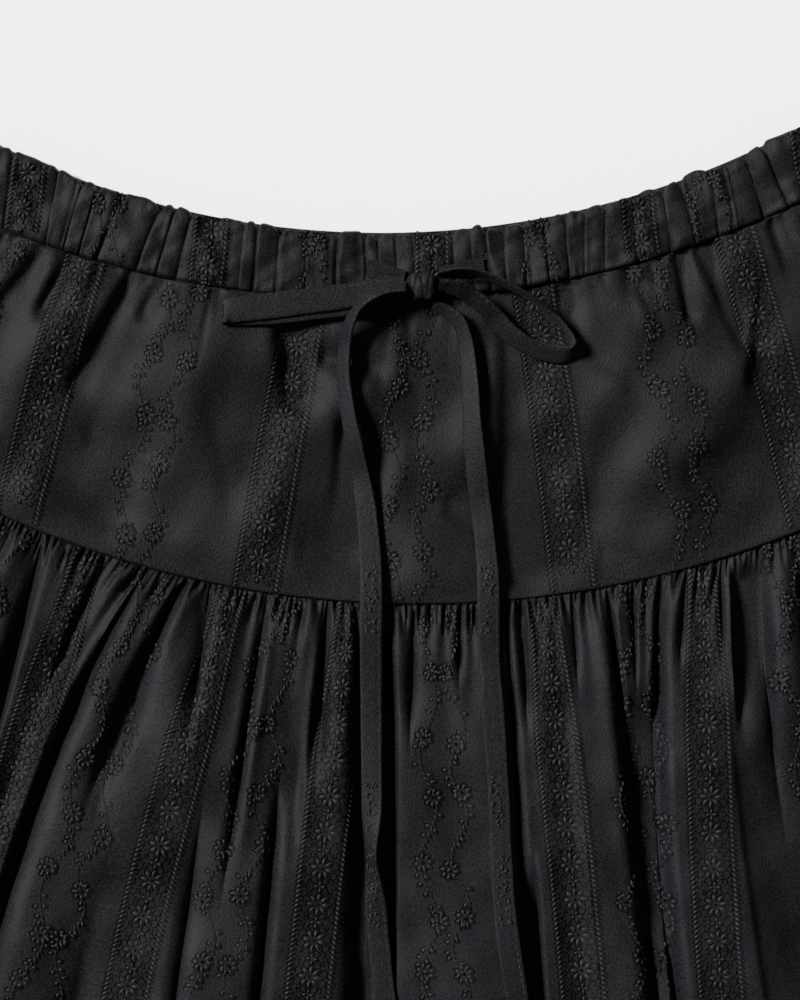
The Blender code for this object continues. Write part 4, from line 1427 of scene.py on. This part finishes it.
@dataclass(frozen=True)
class Vine(Stripe):
    """A winding stripe: two chains of looped leaves with eyelet flowers on them."""

    gap: float = 0.54
    wave: float = 44.0
    swing: float = 3.4
    apart: float = 6.2
    flower_step: float = 12.0
    leaf_step: float = 3.0
    stem_step: float = 2.2
    # the flowers' and leaves' loops are dark outlines of painted shade
    flower: Petal = Petal(2.7, 2.0, 1.2, Loop(2.8, 1.6, 1.15, corners=6))
    leaf: Petal = Petal(1.4, 2.1, 1.2, Loop(1.6, 1.5, 1.05))

    def stem(self, along: np.ndarray, which: int) -> np.ndarray:
        """How far across a stem lies: a sine wave left or right of the middle, out of step."""
        if which == 0:
            return self.swing * np.sin(2 * math.pi * along / self.wave) - self.apart
        return self.swing * np.sin(2 * math.pi * along / (self.wave * 0.8) + 2.3) + self.apart

    def slope(self, along: np.ndarray, which: int) -> np.ndarray:
        """The angle at which a stem crosses the stripe."""
        return np.arctan(self.stem(along + 0.5, which) - self.stem(along - 0.5, which))

    def sew(self, sewing: Sewing, seed: int) -> None:
        """Embroiders the stripe from its top to its foot; a plain one has its main stitches only."""
        random = np.random.default_rng(seed)
        shift = random.uniform(0.0, self.wave)
        for which in (0, 1):
            self.sew_stem(sewing, which, shift)
        if self.full:
            self.sew_leaves(sewing, shift, random)
        for which in (0, 1):
            self.sew_flowers(sewing, which, shift, random)

    def sew_stem(self, sewing: Sewing, which: int, shift: float) -> None:
        """A stem of slanting stitches, with a dark one of painted shade beside each where it is sewn in
        full.
        """
        frame = sewing.frame
        step = self.stem_step if self.full else 2 * self.stem_step
        along = np.arange(0.8, frame.length - 0.8, step)
        slope, across = self.slope(along + shift, which), self.stem(along + shift, which)
        points, facing, angle = frame.on_cloth(across, along)
        sewing.satin.stitches(points, facing, angle + slope + 0.5, 1.9, 0.8, self.rise)
        if self.full:
            points, facing, angle = frame.on_cloth(across + 0.75, along + self.stem_step / 2)
            sewing.dark.stitches(points, facing, angle + slope + 0.3, 1.9, self.gap, self.dark_rise)

    def sew_leaves(self, sewing: Sewing, shift: float, random: np.random.Generator) -> None:
        """Looped leaves on both sides of each stem: satin in a dark outline of painted shade."""
        for which, side in ((0, 1.0), (0, -1.0), (1, 1.0), (1, -1.0)):
            along = np.arange(2.0, sewing.frame.length - 2.0, self.leaf_step)
            bunched = 0.5 + 0.4 * np.sin(2 * math.pi * along / 17.0 + side + 3 * which)
            along = along[random.uniform(0.0, 1.0, len(along)) < bunched]
            along = along + random.uniform(-0.9, 0.9, len(along))
            lean = self.slope(along + shift, which) + side * random.uniform(0.6, 1.6, len(along))
            across = self.stem(along + shift, which) + side * 0.4
            self.sew_petals(sewing, across, along, lean[:, None], self.leaf)

    def sew_flowers(self, sewing: Sewing, which: int, shift: float, random: np.random.Generator) -> None:
        """Eyelet flowers beside a stem: outlined petals round a dark hole; the outlines and the hole are
        painted shade.

        Args:
            sewing: the stripe's work.
            which: the stem, 0 or 1.
            shift: how far the stem's wave is moved along.
            random: the vine's own source of chance.
        """
        length = sewing.frame.length
        along = np.arange(random.uniform(3.0, 9.0), length - 4.0, 2 * self.flower_step)
        along = np.clip(along + random.uniform(-4.0, 4.0, len(along)), 3.0, length - 3.0)
        across = self.stem(along + shift, which) + random.uniform(-2.2, 2.2, len(along))
        way = turns(self.petals)[None, :] + random.uniform(0, 0.7, (len(along), 1))
        if not self.full:
            sewing.satin.stitches(*sewing.frame.around(across, along, 2.6, way), 2.4, 1.1, self.rise)
            return
        self.sew_petals(sewing, across, along, way, self.flower)
        self.sew_holes(sewing, across, along, 1.9)


def lines(*rows: tuple[float, float, float]) -> tuple[StripeLine, ...]:
    """Stripe lines from rows of X at the top, halfway and at the foot."""
    return tuple(StripeLine(*row) for row in rows)


BAND_STRIPES = StripePlan(
    lines((-160, -162, -164), (-87, -88, -90), (1, 1, 1), (83, 84, 86), (150, 153, 156)),
    lines((-128, -130, -132), (-46, -47, -48), (42, 43, 44), (110, 112, 114), (-182, -182, -184)),
    0.72, 0.74, 20.0,
)
YOKE_STRIPES = StripePlan(
    lines((-138, -153, -166), (-49, -60, -70), (41.5, 51, 58), (122, 139, 153)),
    lines((-98, -111, -120), (-6, -9, -10), (88, 99, 106), (-169, -190, -208), (156, 182, 203)),
    0.92, 1.0, 60.0,
)
TIER_STRIPES = StripePlan(
    lines(
        (-195, -248, -285), (-136, -175, -212), (-79, -114, -140), (-31, -46, -60), (45, 59, 70),
        (109, 113, 124), (172, 215, 250),
    ),
    lines(
        (-166, -212, -250), (-110, -145, -178), (-58, -82, -100), (4, 6, 6), (82, 87, 97),
        (140, 162, 186), (205, 250, 290),
    ),
    0.62, 1.0, 70.0,
)


@dataclass
class Embroidery:
    """The tone-on-tone embroidery of one panel."""

    panel: Panel
    stripes: StripePlan
    seed: int
    ladder: Ladder = field(default_factory=Ladder)
    vine: Vine = field(default_factory=Vine)

    def build(self, thread: bpy.types.Material, shade_finish: bpy.types.Material) -> None:
        """Sews the ladders and the vines, each kind as two pieces: the satin threads, and the painted shade
        of their eyelets, outlines and needle holes.
        """
        kinds = (
            ("ladder", self.ladder, self.stripes.ladders),
            ("vine", self.vine, self.stripes.vines),
        )
        for kind, stripe, rows in kinds:
            satin, dark = ThreadWork(), ThreadWork()
            for number, line in enumerate(rows):
                frame = StripeFrame(self.panel, line, self.stripes)
                stripe.sew(Sewing(satin, dark, frame), self.seed + number)
            # the dark work is painted shade: eyelets, outlines and needle holes in the near-black finish
            for threads, name, look in ((satin, f"{kind}s", thread), (dark, f"{kind}_eyelets", shade_finish)):
                if threads.points:
                    finish_piece(threads.sewn(f"{name}_{self.panel.name}"), look, "thread")


@dataclass(frozen=True)
class Hem:
    """The row of stitches that holds up the tier's turned hem, front and back."""

    panels: Sequence[Panel]
    above: float = 10.0
    step: float = 2.9

    def sew(self, thread: bpy.types.Material) -> None:
        """Sews the row along each panel's foot."""
        work = ThreadWork()
        for panel in self.panels:
            count = int(2 * panel.lower.half / self.step)
            u = np.linspace(-0.985, 0.985, count)
            x, y = panel.plan(u, np.full(count, panel.length - self.above))
            points, facing = panel.surface(x, y)
            way = np.gradient(points[:, :2], axis=0)
            work.stitches(points, facing, np.arctan2(way[:, 1], way[:, 0]), 2.0, 0.6, 0.3)
        finish_piece(work.sewn("hem_stitches"), thread, "thread")


@dataclass(frozen=True)
class TapePoint:
    """A point on a tape's line, and how the tape is rolled about it, in degrees."""

    x: float
    y: float
    roll: float


def tape_points(*rows: tuple[float, float, float]) -> tuple[TapePoint, ...]:
    """Tape points from rows of X, Y and roll."""
    return tuple(TapePoint(*row) for row in rows)


LEFT_LEAD = tape_points((-10.0, -17.4, 0), (-17.5, -15.8, 0), (-25.2, -14.6, 0))
RIGHT_LEAD = tape_points((3.6, -16.2, 0), (12.5, -14.8, 0), (21.6, -13.6, 0))
LEFT_TAIL = tape_points(
    (-10.0, -22.6, 30), (-17.5, -23.6, 46), (-25.0, -26.8, 52), (-30.6, -33.6, 54),
    (-33.6, -43.0, 49), (-34.6, -56.0, 46), (-32.6, -72.8, 40), (-28.8, -92.0, 28),
    (-25.4, -112.0, 12), (-23.6, -137.6, 3), (-23.6, -163.0, 0), (-23.4, -195.0, 2),
    (-23.2, -227.0, 12), (-23.4, -240.0, 38), (-23.4, -249.0, 48), (-22.6, -258.0, 34),
    (-21.6, -270.0, 10), (-19.8, -289.0, 0), (-17.6, -307.0, 0), (-14.6, -322.0, 0),
    (-11.4, -335.0, 0),
)
RIGHT_TAIL = tape_points(
    (1.4, -29.0, 28), (7.8, -32.4, 38), (12.8, -38.6, 40), (15.4, -53.0, 34),
    (17.0, -79.0, 23), (18.8, -97.6, 14), (21.4, -118.0, 7), (23.2, -138.8, 2),
    (23.6, -169.0, 0), (24.8, -187.0, 0), (27.4, -227.0, 0), (28.2, -249.0, 3),
    (30.2, -276.0, 2), (34.8, -306.0, 0), (38.6, -322.0, 0), (42.6, -337.0, 0),
)
LOOP_TOP = tape_points(
    (-10.0, -20.6, 0), (-20.0, -23.2, 0), (-36.0, -26.2, 0), (-62.0, -29.6, 0), (-81.0, -31.8, 0)
)
LOOP_UNDER = tape_points(
    (-81.0, -32.8, 0), (-62.0, -32.0, 0), (-36.0, -29.2, 0), (-20.0, -26.6, 0), (-10.0, -24.6, 0)
)
RIGHT_LOOP = tape_points(
    (3.6, -17.6, 60), (11.0, -16.4, 68), (20.0, -17.2, 74), (32.0, -22.2, 78), (44.0, -29.2, 80),
    (53.4, -37.6, 84), (58.2, -44.4, 98), (56.4, -48.4, 124), (49.6, -48.8, 140), (40.0, -46.0, 144),
    (31.2, -39.8, 146), (24.6, -32.4, 146), (17.0, -26.0, 144), (9.8, -22.6, 138), (3.6, -21.6, 130),
)


def curve_through(points: np.ndarray, steps: int) -> np.ndarray:
    """A smooth curve through given points (Catmull-Rom), with steps to each span."""
    p = np.concatenate([2 * points[:1] - points[1:2], points, 2 * points[-1:] - points[-2:-1]])
    t = np.linspace(0.0, 1.0, steps, endpoint=False)[None, :, None]
    a, b, c, d = (p[k : len(p) - 3 + k, None, :] for k in range(4))
    square, cube = (2 * a - 5 * b + 4 * c - d) * t**2, (3 * b - a - 3 * c + d) * t**3
    spans = 0.5 * (2 * b + (c - a) * t + square + cube)
    return np.concatenate([spans.reshape(-1, p.shape[1]), p[-2:-1]])


@dataclass(frozen=True)
class TapeFrame:
    """A laid tape: its middle, the ways it runs, is wide and faces, its run and half its width."""

    path: np.ndarray
    along: np.ndarray
    wide: np.ndarray
    up: np.ndarray
    run: np.ndarray
    half: np.ndarray

    def at(self, place: np.ndarray) -> tuple[np.ndarray, np.ndarray, np.ndarray, np.ndarray, np.ndarray]:
        """The middle, the side, the face, the plan angle and half the width at distances along it."""
        middle, way, side, face = (
            np.stack([np.interp(place, self.run, column) for column in rows.T], axis=-1)
            for rows in (self.path, self.along, self.wide, self.up)
        )
        angle = np.arctan2(way[:, 1], way[:, 0])
        return middle, side, face, angle, np.interp(place, self.run, self.half)


@dataclass
class Drawstring:
    """The self-fabric tape: two leads out of the casing, a knot, two loops and two free tails."""

    cloth: Sequence[Panel]
    cotton: bpy.types.Material
    width: float = 8.6
    thick: float = 1.5
    lift: float = 0.35
    pinch: float = 0.42
    pinch_run: float = 14.0
    lead_narrow: float = 0.8
    loop_narrow: float = 0.95
    loop_spread: float = 1.15
    loop_fold: float = 1.6
    curl: float = 0.42
    buttonhole_places: tuple[tuple[float, float], ...] = ((-25.6, -14.6), (21.8, -13.8))
    buttonhole_length: float = 10.0
    knot_centre: tuple[float, float] = (-3.2, -22.0)
    knot_size: tuple[float, float, float] = (10.8, 12.0, 7.4)
    steps: int = 7
    worked: tuple[tuple[float, float], ...] = ((-131.0, -164.0), (-215.0, -239.0), (-247.0, -280.0))
    laid_down: list[np.ndarray] = field(default_factory=list)
    stitching: ThreadWork = field(default_factory=ThreadWork)
    # painted shade: the dark slits where the tape's embroidery was cut
    slits: ThreadWork = field(default_factory=ThreadWork)

    def ground(self, x: np.ndarray, y: np.ndarray) -> np.ndarray:
        """The highest thing under plan places: the cloth, or a tape laid before."""
        top = np.zeros_like(x)
        for panel in self.cloth:
            u, down = panel.share(x, y)
            inside = (np.abs(u) < 1.0) & (down > 0.0) & (down < panel.length)
            top = np.where(inside, np.maximum(top, panel.height(u, down, x, y)), top)
        for tape in self.laid_down:
            apart = np.hypot(x[..., None] - tape[:, 0], y[..., None] - tape[:, 1])
            over = np.where(apart < tape[:, 3], tape[:, 2], 0.0)
            top = np.maximum(top, over.max(axis=-1))
        return top

    def laid(self, points: Sequence[TapePoint], curl: float = 0.0) -> tuple[np.ndarray, np.ndarray]:
        """Lays a tape's line on what is under it.

        The height is the highest ground across the tape's width, evened out along it, and a
        rolled tape stands on its lower edge.

        Args:
            points: the line and the roll: 0 is flat, 90 on its edge, more leans over the other way.
            curl: the share of its width that it loses, curled up, where it is on its edge.
        Returns:
            The path, and the way that the tape's width points, as long as the share that is left.
        """
        line = curve_through(np.array([(p.x, p.y, p.roll) for p in points]), self.steps)
        x, y, roll = line[:, 0], line[:, 1], np.radians(line[:, 2])
        run = unit(np.gradient(line[:, :2], axis=0))
        side = np.stack([-run[:, 1], run[:, 0]], axis=1)
        kept = 1.0 - curl * np.sin(roll) ** 2
        reach = self.width / 2 * kept * np.abs(np.cos(roll)) + self.lift
        across = np.linspace(-1.0, 1.0, 7)[:, None]
        ground = self.ground(x + across * reach * side[:, 0], y + across * reach * side[:, 1]).max(axis=0)
        for shift in (1, 2, 3):
            ahead = np.concatenate([ground[shift:], np.repeat(ground[-1], shift)])
            behind = np.concatenate([np.repeat(ground[0], shift), ground[:-shift]])
            ground = np.maximum(ground, np.maximum(ahead, behind) - 0.12 * shift)
        bell = np.exp(-((np.arange(-5, 6) / 2.6) ** 2))
        ground = np.convolve(np.pad(ground, 5, mode="edge"), bell / bell.sum(), mode="valid")
        z = ground + self.lift + self.thick / 2 * np.abs(np.cos(roll))
        z = z + self.width / 2 * kept * np.sin(roll)
        path = np.stack([x, y, z], axis=1)
        wide = np.stack([side[:, 0] * np.cos(roll), side[:, 1] * np.cos(roll), np.sin(roll)], axis=1)
        return path, wide * kept[:, None]

    def keep(self, path: np.ndarray, wide: np.ndarray, width: float) -> None:
        """Remembers a laid tape, so that later ones lie on it."""
        flat = np.hypot(wide[:, 0], wide[:, 1])
        top = path[:, 2] + self.thick / 2 * flat + width / 2 * np.abs(wide[:, 2])
        self.laid_down.append(np.column_stack([path[:, :2], top, np.maximum(width / 2 * flat, 1.2)]))

    def drawn_in(self, path: np.ndarray, at_end: bool) -> np.ndarray:
        """The tape's width along its line, as a share: drawn in where it enters the knot."""
        run = run_along(path)
        drawn = 1.0 - smooth(run / self.pinch_run)
        if at_end:
            drawn = np.maximum(drawn, 1.0 - smooth((run[-1] - run) / self.pinch_run))
        return 1.0 - self.pinch * drawn

    def tape(
        self, name: str, path: np.ndarray, wide: np.ndarray, width: float, seed: int, at_end: bool = False
    ) -> bpy.types.Object:
        """A folded and stitched tape along a path, and the stitches along its edge.

        The section is a flattened oval whose faces are hollowed a little beside the stitched
        edge; it is carried along the path with its wide way turned as asked.

        Args:
            name: the object's name.
            path: points along its middle.
            wide: the way its width points at each.
            width: its full width.
            seed: for the small unevenness of its edges.
            at_end: whether it is drawn in at its far end too.
        Returns:
            The tape; its stitches are kept for the drawstring's own pieces.
        """
        random = np.random.default_rng(seed)
        along = unit(np.gradient(path, axis=0))
        kept = np.linalg.norm(wide, axis=1)
        wide = unit(wide - (wide * along).sum(1, keepdims=True) * along)
        up = np.cross(wide, along)
        turned_over = up[:, 2].mean() < 0.0
        up = -up if turned_over else up
        turn = np.linspace(0.0, 2 * math.pi, 20, endpoint=False)
        flat, rise = squared_off(np.cos(turn), 0.55), squared_off(np.sin(turn), 0.45)
        seam, hollow = np.exp(-(((flat - 0.68) / 0.13) ** 2)), np.exp(-(((flat + 0.1) / 0.5) ** 2))
        lift = rise * (1.0 - 0.38 * seam - 0.2 * hollow) * self.thick / 2
        half = width / 2 * self.drawn_in(path, at_end) * kept
        wander, crumple = (
            np.convolve(random.normal(0.0, 1.0, len(path) + over - 1), np.ones(over) / over, mode="valid")
            for over in (9, 5)
        )
        points = (
            path[:, None, :]
            + wide[:, None, :] * (half * (1.0 + 0.1 * wander))[:, None, None] * flat[None, :, None]
            + up[:, None, :] * (lift[None, :, None] + 0.3 * crumple[:, None, None] * flat[None, :, None])
        )
        rows, columns = points.shape[:2]
        ring = np.arange(columns)
        faces = [
            grid_faces(rows, columns, around=True),
            ring[None, :],
            ((rows - 1) * columns + ring)[::-1][None, :],
        ]
        faces = [block[:, ::-1] if turned_over else block for block in faces]
        run = run_along(path)
        uv = np.stack(np.broadcast_arrays(flat[None, :] * width / 2 * MM, run[:, None] * MM), axis=-1)
        piece = mesh_piece(name, points.reshape(-1, 3), faces, uv.reshape(-1, 2), sharp=70.0)
        frame = TapeFrame(path, along, wide, up, run, half)
        self.sew_edge(frame)
        for first, last in self.worked if "tail" in name else ():
            kept = run[(path[:, 1] <= first) & (path[:, 1] >= last)]
            self.sew_flowers(frame, kept, random)
        return piece

    def sew_edge(self, tape: TapeFrame) -> None:
        """The row of stitches along a tape's closed edge, seen on both faces."""
        middle, side, face, angle, half = tape.at(np.arange(2.0, tape.run[-1] - 1.0, 2.7))
        edge = middle + side * (half * 0.70)[:, None]
        for out in (unit(face), -unit(face)):
            foot = edge + out * (self.thick / 2 * 0.60)
            self.stitching.stitches(foot, out, angle, 2.0, 0.55, 0.22)

    def sew_flowers(self, tape: TapeFrame, kept: np.ndarray, random: np.random.Generator) -> None:
        """Satin leaves and dark slits of painted shade where the tape was cut through an embroidered
        stripe.

        Args:
            tape: the laid tape.
            kept: distances along it between which it is worked.
            random: the tape's own source of chance.
        """
        place = np.sort(random.uniform(kept.min(), kept.max(), int(np.ptp(kept) * 1.1)))
        middle, side, face, angle, half = tape.at(place)
        across = random.uniform(-0.72, 0.5, len(place)) * half
        points = middle + side * across[:, None] + face * (self.thick / 2 * 0.8)
        lean = angle + random.uniform(-1.2, 1.2, len(place))
        self.stitching.beads(points, unit(face), lean, 1.9, 1.0, 0.4)
        self.slits.stitches(points + side * 0.75, unit(face), lean + 0.3, 1.9, 0.5, 0.34)

    def loop_paths(self) -> tuple[np.ndarray, np.ndarray]:
        """The flat left loop: out on top, folded over at its end and back underneath."""
        under, wide = self.laid(LOOP_UNDER)
        over, _ = self.laid(LOOP_TOP)
        level = under[:, 2].max()
        under[:, 2] = level
        over[:, 2] = level + self.loop_fold
        bend = np.linspace(0.0, math.pi, 7)[1:-1]
        start, end = over[-1], under[0]
        middle = (start + end) / 2
        turn = middle + np.outer(np.cos(bend), (start - end) / 2)
        turn = turn + np.outer(np.sin(bend), (-self.loop_fold / 2, 0.0, 0.0))
        path = np.concatenate([over, turn, under])
        return path, np.tile((0.0, 1.0, 0.0), (len(path), 1))

    def knot(self) -> bpy.types.Object:
        """The wrapped knot: a rounded block, its sides drawn in, grooved where the tape crosses."""
        around, rings = 64, 34
        angle = np.linspace(0.0, 2 * math.pi, around, endpoint=False)[None, :]
        rise = np.linspace(-math.pi / 2, math.pi / 2, rings)[1:-1, None]
        waves = (np.cos(angle), np.sin(angle), np.cos(rise), np.sin(rise))
        circle, other, ring, height = (squared_off(wave, 0.62) for wave in waves)
        sx, sy, sz = (size / 2 for size in self.knot_size)
        self.laid_down.clear()
        base = float(self.ground(*(np.array([c]) for c in self.knot_centre))[0]) + self.lift + sz
        x, y = sx * ring * circle, sy * ring * other
        waist = 1.0 - 0.16 * np.exp(-((x / 3.0) ** 2)) * np.abs(other)
        z = sz * height * (1.0 - 0.12 * (x / sx) ** 2)
        top = smooth(height)
        creases = ((-2.7, 0.20, 0.55, 0.8), (0.3, -0.16, 0.7, 1.0), (2.6, 0.12, 0.5, 0.7))
        wrap = sum(-deep * np.exp(-(((x - at - lean * y) / wide) ** 2)) for at, lean, wide, deep in creases)
        z = z + (wrap + 0.25 * np.sin(y * 0.9 + 1.0)) * top * ring
        points = np.stack([self.knot_centre[0] + x, self.knot_centre[1] + y * waist, base + z], axis=-1)
        rows = points.shape[0]
        flat = points.reshape(-1, 3)
        ends = np.array([(*self.knot_centre, base - sz), (*self.knot_centre, base + sz + 0.2)])
        faces = grid_faces(rows, around, around=True)[:, ::-1]
        s = np.arange(around)
        n = (s + 1) % around
        low = np.stack([np.full(around, len(flat)), n, s], axis=-1)
        last = (rows - 1) * around
        high = np.stack([np.full(around, len(flat) + 1), last + s, last + n], axis=-1)
        points = np.concatenate([flat, ends])
        uv = points[:, :2] * MM
        return mesh_piece("bow_knot_wrapped", points, [faces, low, high], uv, sharp=60.0)

    def buttonholes(self, thread: bpy.types.Material, shade_finish: bpy.types.Material) -> None:
        """The two upright buttonholes in the casing that the drawstring comes out of; each slit is a dark
        dome of painted shade for the shadow in its opening.
        """
        slits, sewing = ThreadWork(), ThreadWork()
        band = self.cloth[0]
        for place in self.buttonhole_places:
            x, y = (np.array([value]) for value in place)
            upright = np.array([math.pi / 2])
            slits.beads(*band.surface(x, y), upright, self.buttonhole_length, 1.1, 0.3)
            reach = np.linspace(-0.5, 0.5, 12) * self.buttonhole_length
            for side in (-1.1, 1.1):
                points, facing = band.surface(place[0] + side + 0 * reach, place[1] + reach)
                sewing.stitches(points, facing, 0.0 * reach, 1.3, 0.6, 0.45)
        finish_piece(slits.sewn("buttonhole_slits"), shade_finish, "thread")
        finish_piece(sewing.sewn("buttonhole_stitches"), thread, "thread")

    def put(
        self, node: str, path: np.ndarray, wide: np.ndarray, share: float, seed: int, both: bool = False
    ) -> bpy.types.Object:
        """Makes and lays one stretch of tape.

        Args:
            node: the solid that it replaces.
            path: points along its middle.
            wide: the way its width points at each.
            share: its width as a share of the tape's.
            seed: for its small unevenness.
            both: whether it is drawn in at both ends.
        Returns:
            The stretch's object.
        """
        width = self.width * share
        piece = self.tape(f"{node}_tape", path, wide, width, seed, both)
        finish_piece(piece, self.cotton, "tape", node)
        self.keep(path, wide, width)
        return piece

    def build(self, thread: bpy.types.Material, shade_finish: bpy.types.Material) -> None:
        """Makes and lays every stretch, in the order in which they cross."""
        self.put("lead_left", *self.laid(LEFT_LEAD), self.lead_narrow, 61)
        self.put("lead_right", *self.laid(RIGHT_LEAD), self.lead_narrow, 62)
        self.put("loop_left", *self.loop_paths(), self.loop_spread, 63, both=True)
        tails = []
        for node, points, seed in (("tail_left", LEFT_TAIL, 64), ("tail_right", RIGHT_TAIL, 65)):
            path, wide = self.laid(points, self.curl)
            tails.append((self.put(node, path, wide, 1.0, seed), placed(path)))
        self.put("loop_right", *self.laid(RIGHT_LOOP), self.loop_narrow, 66, both=True)
        finish_piece(self.knot(), self.cotton, "tape", "bow_knot")
        finish_piece(self.stitching.sewn("tape_edge_stitches"), thread, "thread")
        # painted shade: the tape's dark slits
        finish_piece(self.slits.sewn("tape_eyelets"), shade_finish, "thread")
        for piece, metres in tails:
            self.width * MM


@dataclass(frozen=True)
class Studio:
    """Camera, soft daylight and the pale ground."""

    frame_middle: tuple[float, float] = (-12.0, -107.2)
    frame_height: float = 0.400
    lens: float = 100.0
    sensor: float = 36.0
    level: float = 0.008
    daylight: float = 4.36
    daylight_from: tuple[float, float, float] = (-2.7, 1.35, 2.7)
    daylight_spread: float = 15.0
    fill: float = 0.062
    floor_reach: float = 3.0
    floor_level: float = -0.0004

    def build(self) -> None:
        """Sets the camera straight above the photographed part and lights it."""
        scene = bpy.context.scene
        centre = placed(np.array([*self.frame_middle, 0.0]))
        camera = bpy.data.cameras.new("camera")
        camera.lens = self.lens
        camera.sensor_width = self.sensor
        camera.dof.use_dof = False
        holder = bpy.data.objects.new("camera", camera)
        away = self.frame_height * self.lens / self.sensor
        holder.location = (centre[0], centre[1], self.level + away)
        scene.collection.objects.link(holder)
        scene.camera = holder
        lamp = bpy.data.lights.new("daylight", "SUN")
        lamp.energy = self.daylight
        lamp.angle = math.radians(self.daylight_spread)
        key = bpy.data.objects.new("daylight", lamp)
        key.rotation_euler = Vector(self.daylight_from).to_track_quat("Z", "Y").to_euler()
        scene.collection.objects.link(key)
        world = bpy.data.worlds.new("room")
        world.use_nodes = True
        light = world.node_tree.nodes["Background"].inputs
        light["Color"].default_value = (1.0, 1.0, 1.0, 1.0)
        light["Strength"].default_value = self.fill
        scene.world = world
        scene.view_settings.view_transform = "Standard"
        self.lay_floor()

    def lay_floor(self) -> None:
        """A flat pale ground just under the skirt."""
        mesh = bpy.data.meshes.new("floor")
        around = ((-1, -1), (1, -1), (1, 1), (-1, 1))
        corners = [(x * self.floor_reach, y * self.floor_reach, self.floor_level) for x, y in around]
        mesh.from_pydata(corners, [], [(0, 1, 2, 3)])
        mesh.materials.append(FloorFinish().material())
        floor = bpy.data.objects.new("floor", mesh)
        bpy.context.scene.collection.objects.link(floor)


@dataclass
class Skirt:
    """The whole garment: panels, embroidery and drawstring."""

    tier_flat: tuple[float, float] = (810.0, 264.0)
    yoke_flat: tuple[float, float] = (490.0, 125.0)
    band_flat: tuple[float, float] = (490.0, 29.0)

    plain_rise: float = 0.2
    back_cloth: float = 0.4

    def __post_init__(self) -> None:
        """Names the panels between their rings."""
        band = (WAIST_TOP, WAIST_SEAM, self.band_flat)
        yoke = (WAIST_SEAM, YOKE_SEAM, self.yoke_flat)
        tier = (YOKE_SEAM, HEM, self.tier_flat)
        eased = Streaks(33, 40, 187.0, (2.0, 4.0), (0.2, 0.8), (10.0, 60.0))
        self.band = WaistbandFront("waistband_front", Side.FRONT, *band)
        self.yoke = YokeFront("yoke_front", Side.FRONT, *yoke)
        self.tier = TierFront("tier_front", Side.FRONT, *tier)
        self.band_back = WaistbandBack("waistband_back", Side.BACK, *band)
        self.yoke_back = BackPanel("yoke_back", Side.BACK, *yoke, gathers=eased)
        self.tier_back = BackPanel("tier_back", Side.BACK, *tier)

    def build_panels(self, cotton: bpy.types.Material) -> None:
        folds = clustered(FOLD_TOPS[1:-1], 0.009, 2.2, 1045)
        puckers = clustered(PUCKER_TOPS[1:-1], 0.008, 3.2, 580)
        coarse, middling, fine = (np.linspace(-1.0, 1.0, count) for count in (240, 360, 400))
        tier_rows = rows_down(self.tier.length, 1.1, 13.0, 5.1)
        yoke_rows = rows_down(self.yoke.length, 0.5, 5.0, 2.6, foot=4.0)
        band_rows = np.concatenate([np.linspace(*span, 9) for span in ((0, 5), (6, 20.8), (21.8, 26.8))])
        tier_back_rows = rows_down(self.tier.length, 3.0, 12.0, 9.0)
        yoke_back_rows = rows_down(self.yoke.length, 2.0, 10.0, 8.0)
        made = (
            (self.tier, self.tier.shell(folds, tier_rows, COTTON, head=12)),
            (self.yoke, self.yoke.shell(middling, yoke_rows, COTTON)),
            (self.band, self.band.closed_form(puckers, band_rows)),
            (self.tier_back, self.tier_back.shell(fine, tier_back_rows, self.back_cloth)),
            (self.yoke_back, self.yoke_back.shell(coarse, yoke_back_rows, self.back_cloth)),
            (self.band_back, self.band_back.closed_form(middling, band_rows[::2])),
        )
        for panel, piece in made:
            finish_piece(piece, cotton, "cotton", panel.node)
            held = "laid" if "yoke" in panel.node else "gathered"

    def embroider(self, thread: bpy.types.Material, shade_finish: bpy.types.Material) -> None:
        """Embroiders the front panels in full and the back ones with their main stitches."""
        rows = (BAND_STRIPES, YOKE_STRIPES, TIER_STRIPES)
        for panel, stripes, seed in zip((self.band, self.yoke, self.tier), rows, (100, 120, 140)):
            Embroidery(panel, stripes, seed).build(thread, shade_finish)
        ladder = Ladder(rise=self.plain_rise, full=False)
        vine = Vine(rise=self.plain_rise, full=False)
        backs = (self.band_back, self.yoke_back, self.tier_back)
        for panel, stripes, seed in zip(backs, rows, (160, 180, 200)):
            Embroidery(panel, stripes, seed, ladder, vine).build(thread, shade_finish)


def main() -> None:
    """Builds the studio and the skirt, and reports each piece."""
    logging.basicConfig(level=logging.INFO, format="%(name)s: %(message)s")
    Studio().build()
    cotton = CottonFinish().material()
    thread = ThreadFinish().material()
    # the painted-shade finish for eyelets, slits, needle holes and the gaps between threads
    shade_finish = PaintedShadeFinish().material()
    skirt = Skirt()
    skirt.build_panels(cotton)
    skirt.embroider(thread, shade_finish)
    drawstring = Drawstring([skirt.band, skirt.yoke, skirt.tier], cotton)
    drawstring.buttonholes(thread, shade_finish)
    drawstring.build(thread, shade_finish)
    Hem([skirt.tier, skirt.tier_back]).sew(thread)


if __name__ == "__main__":
    main()
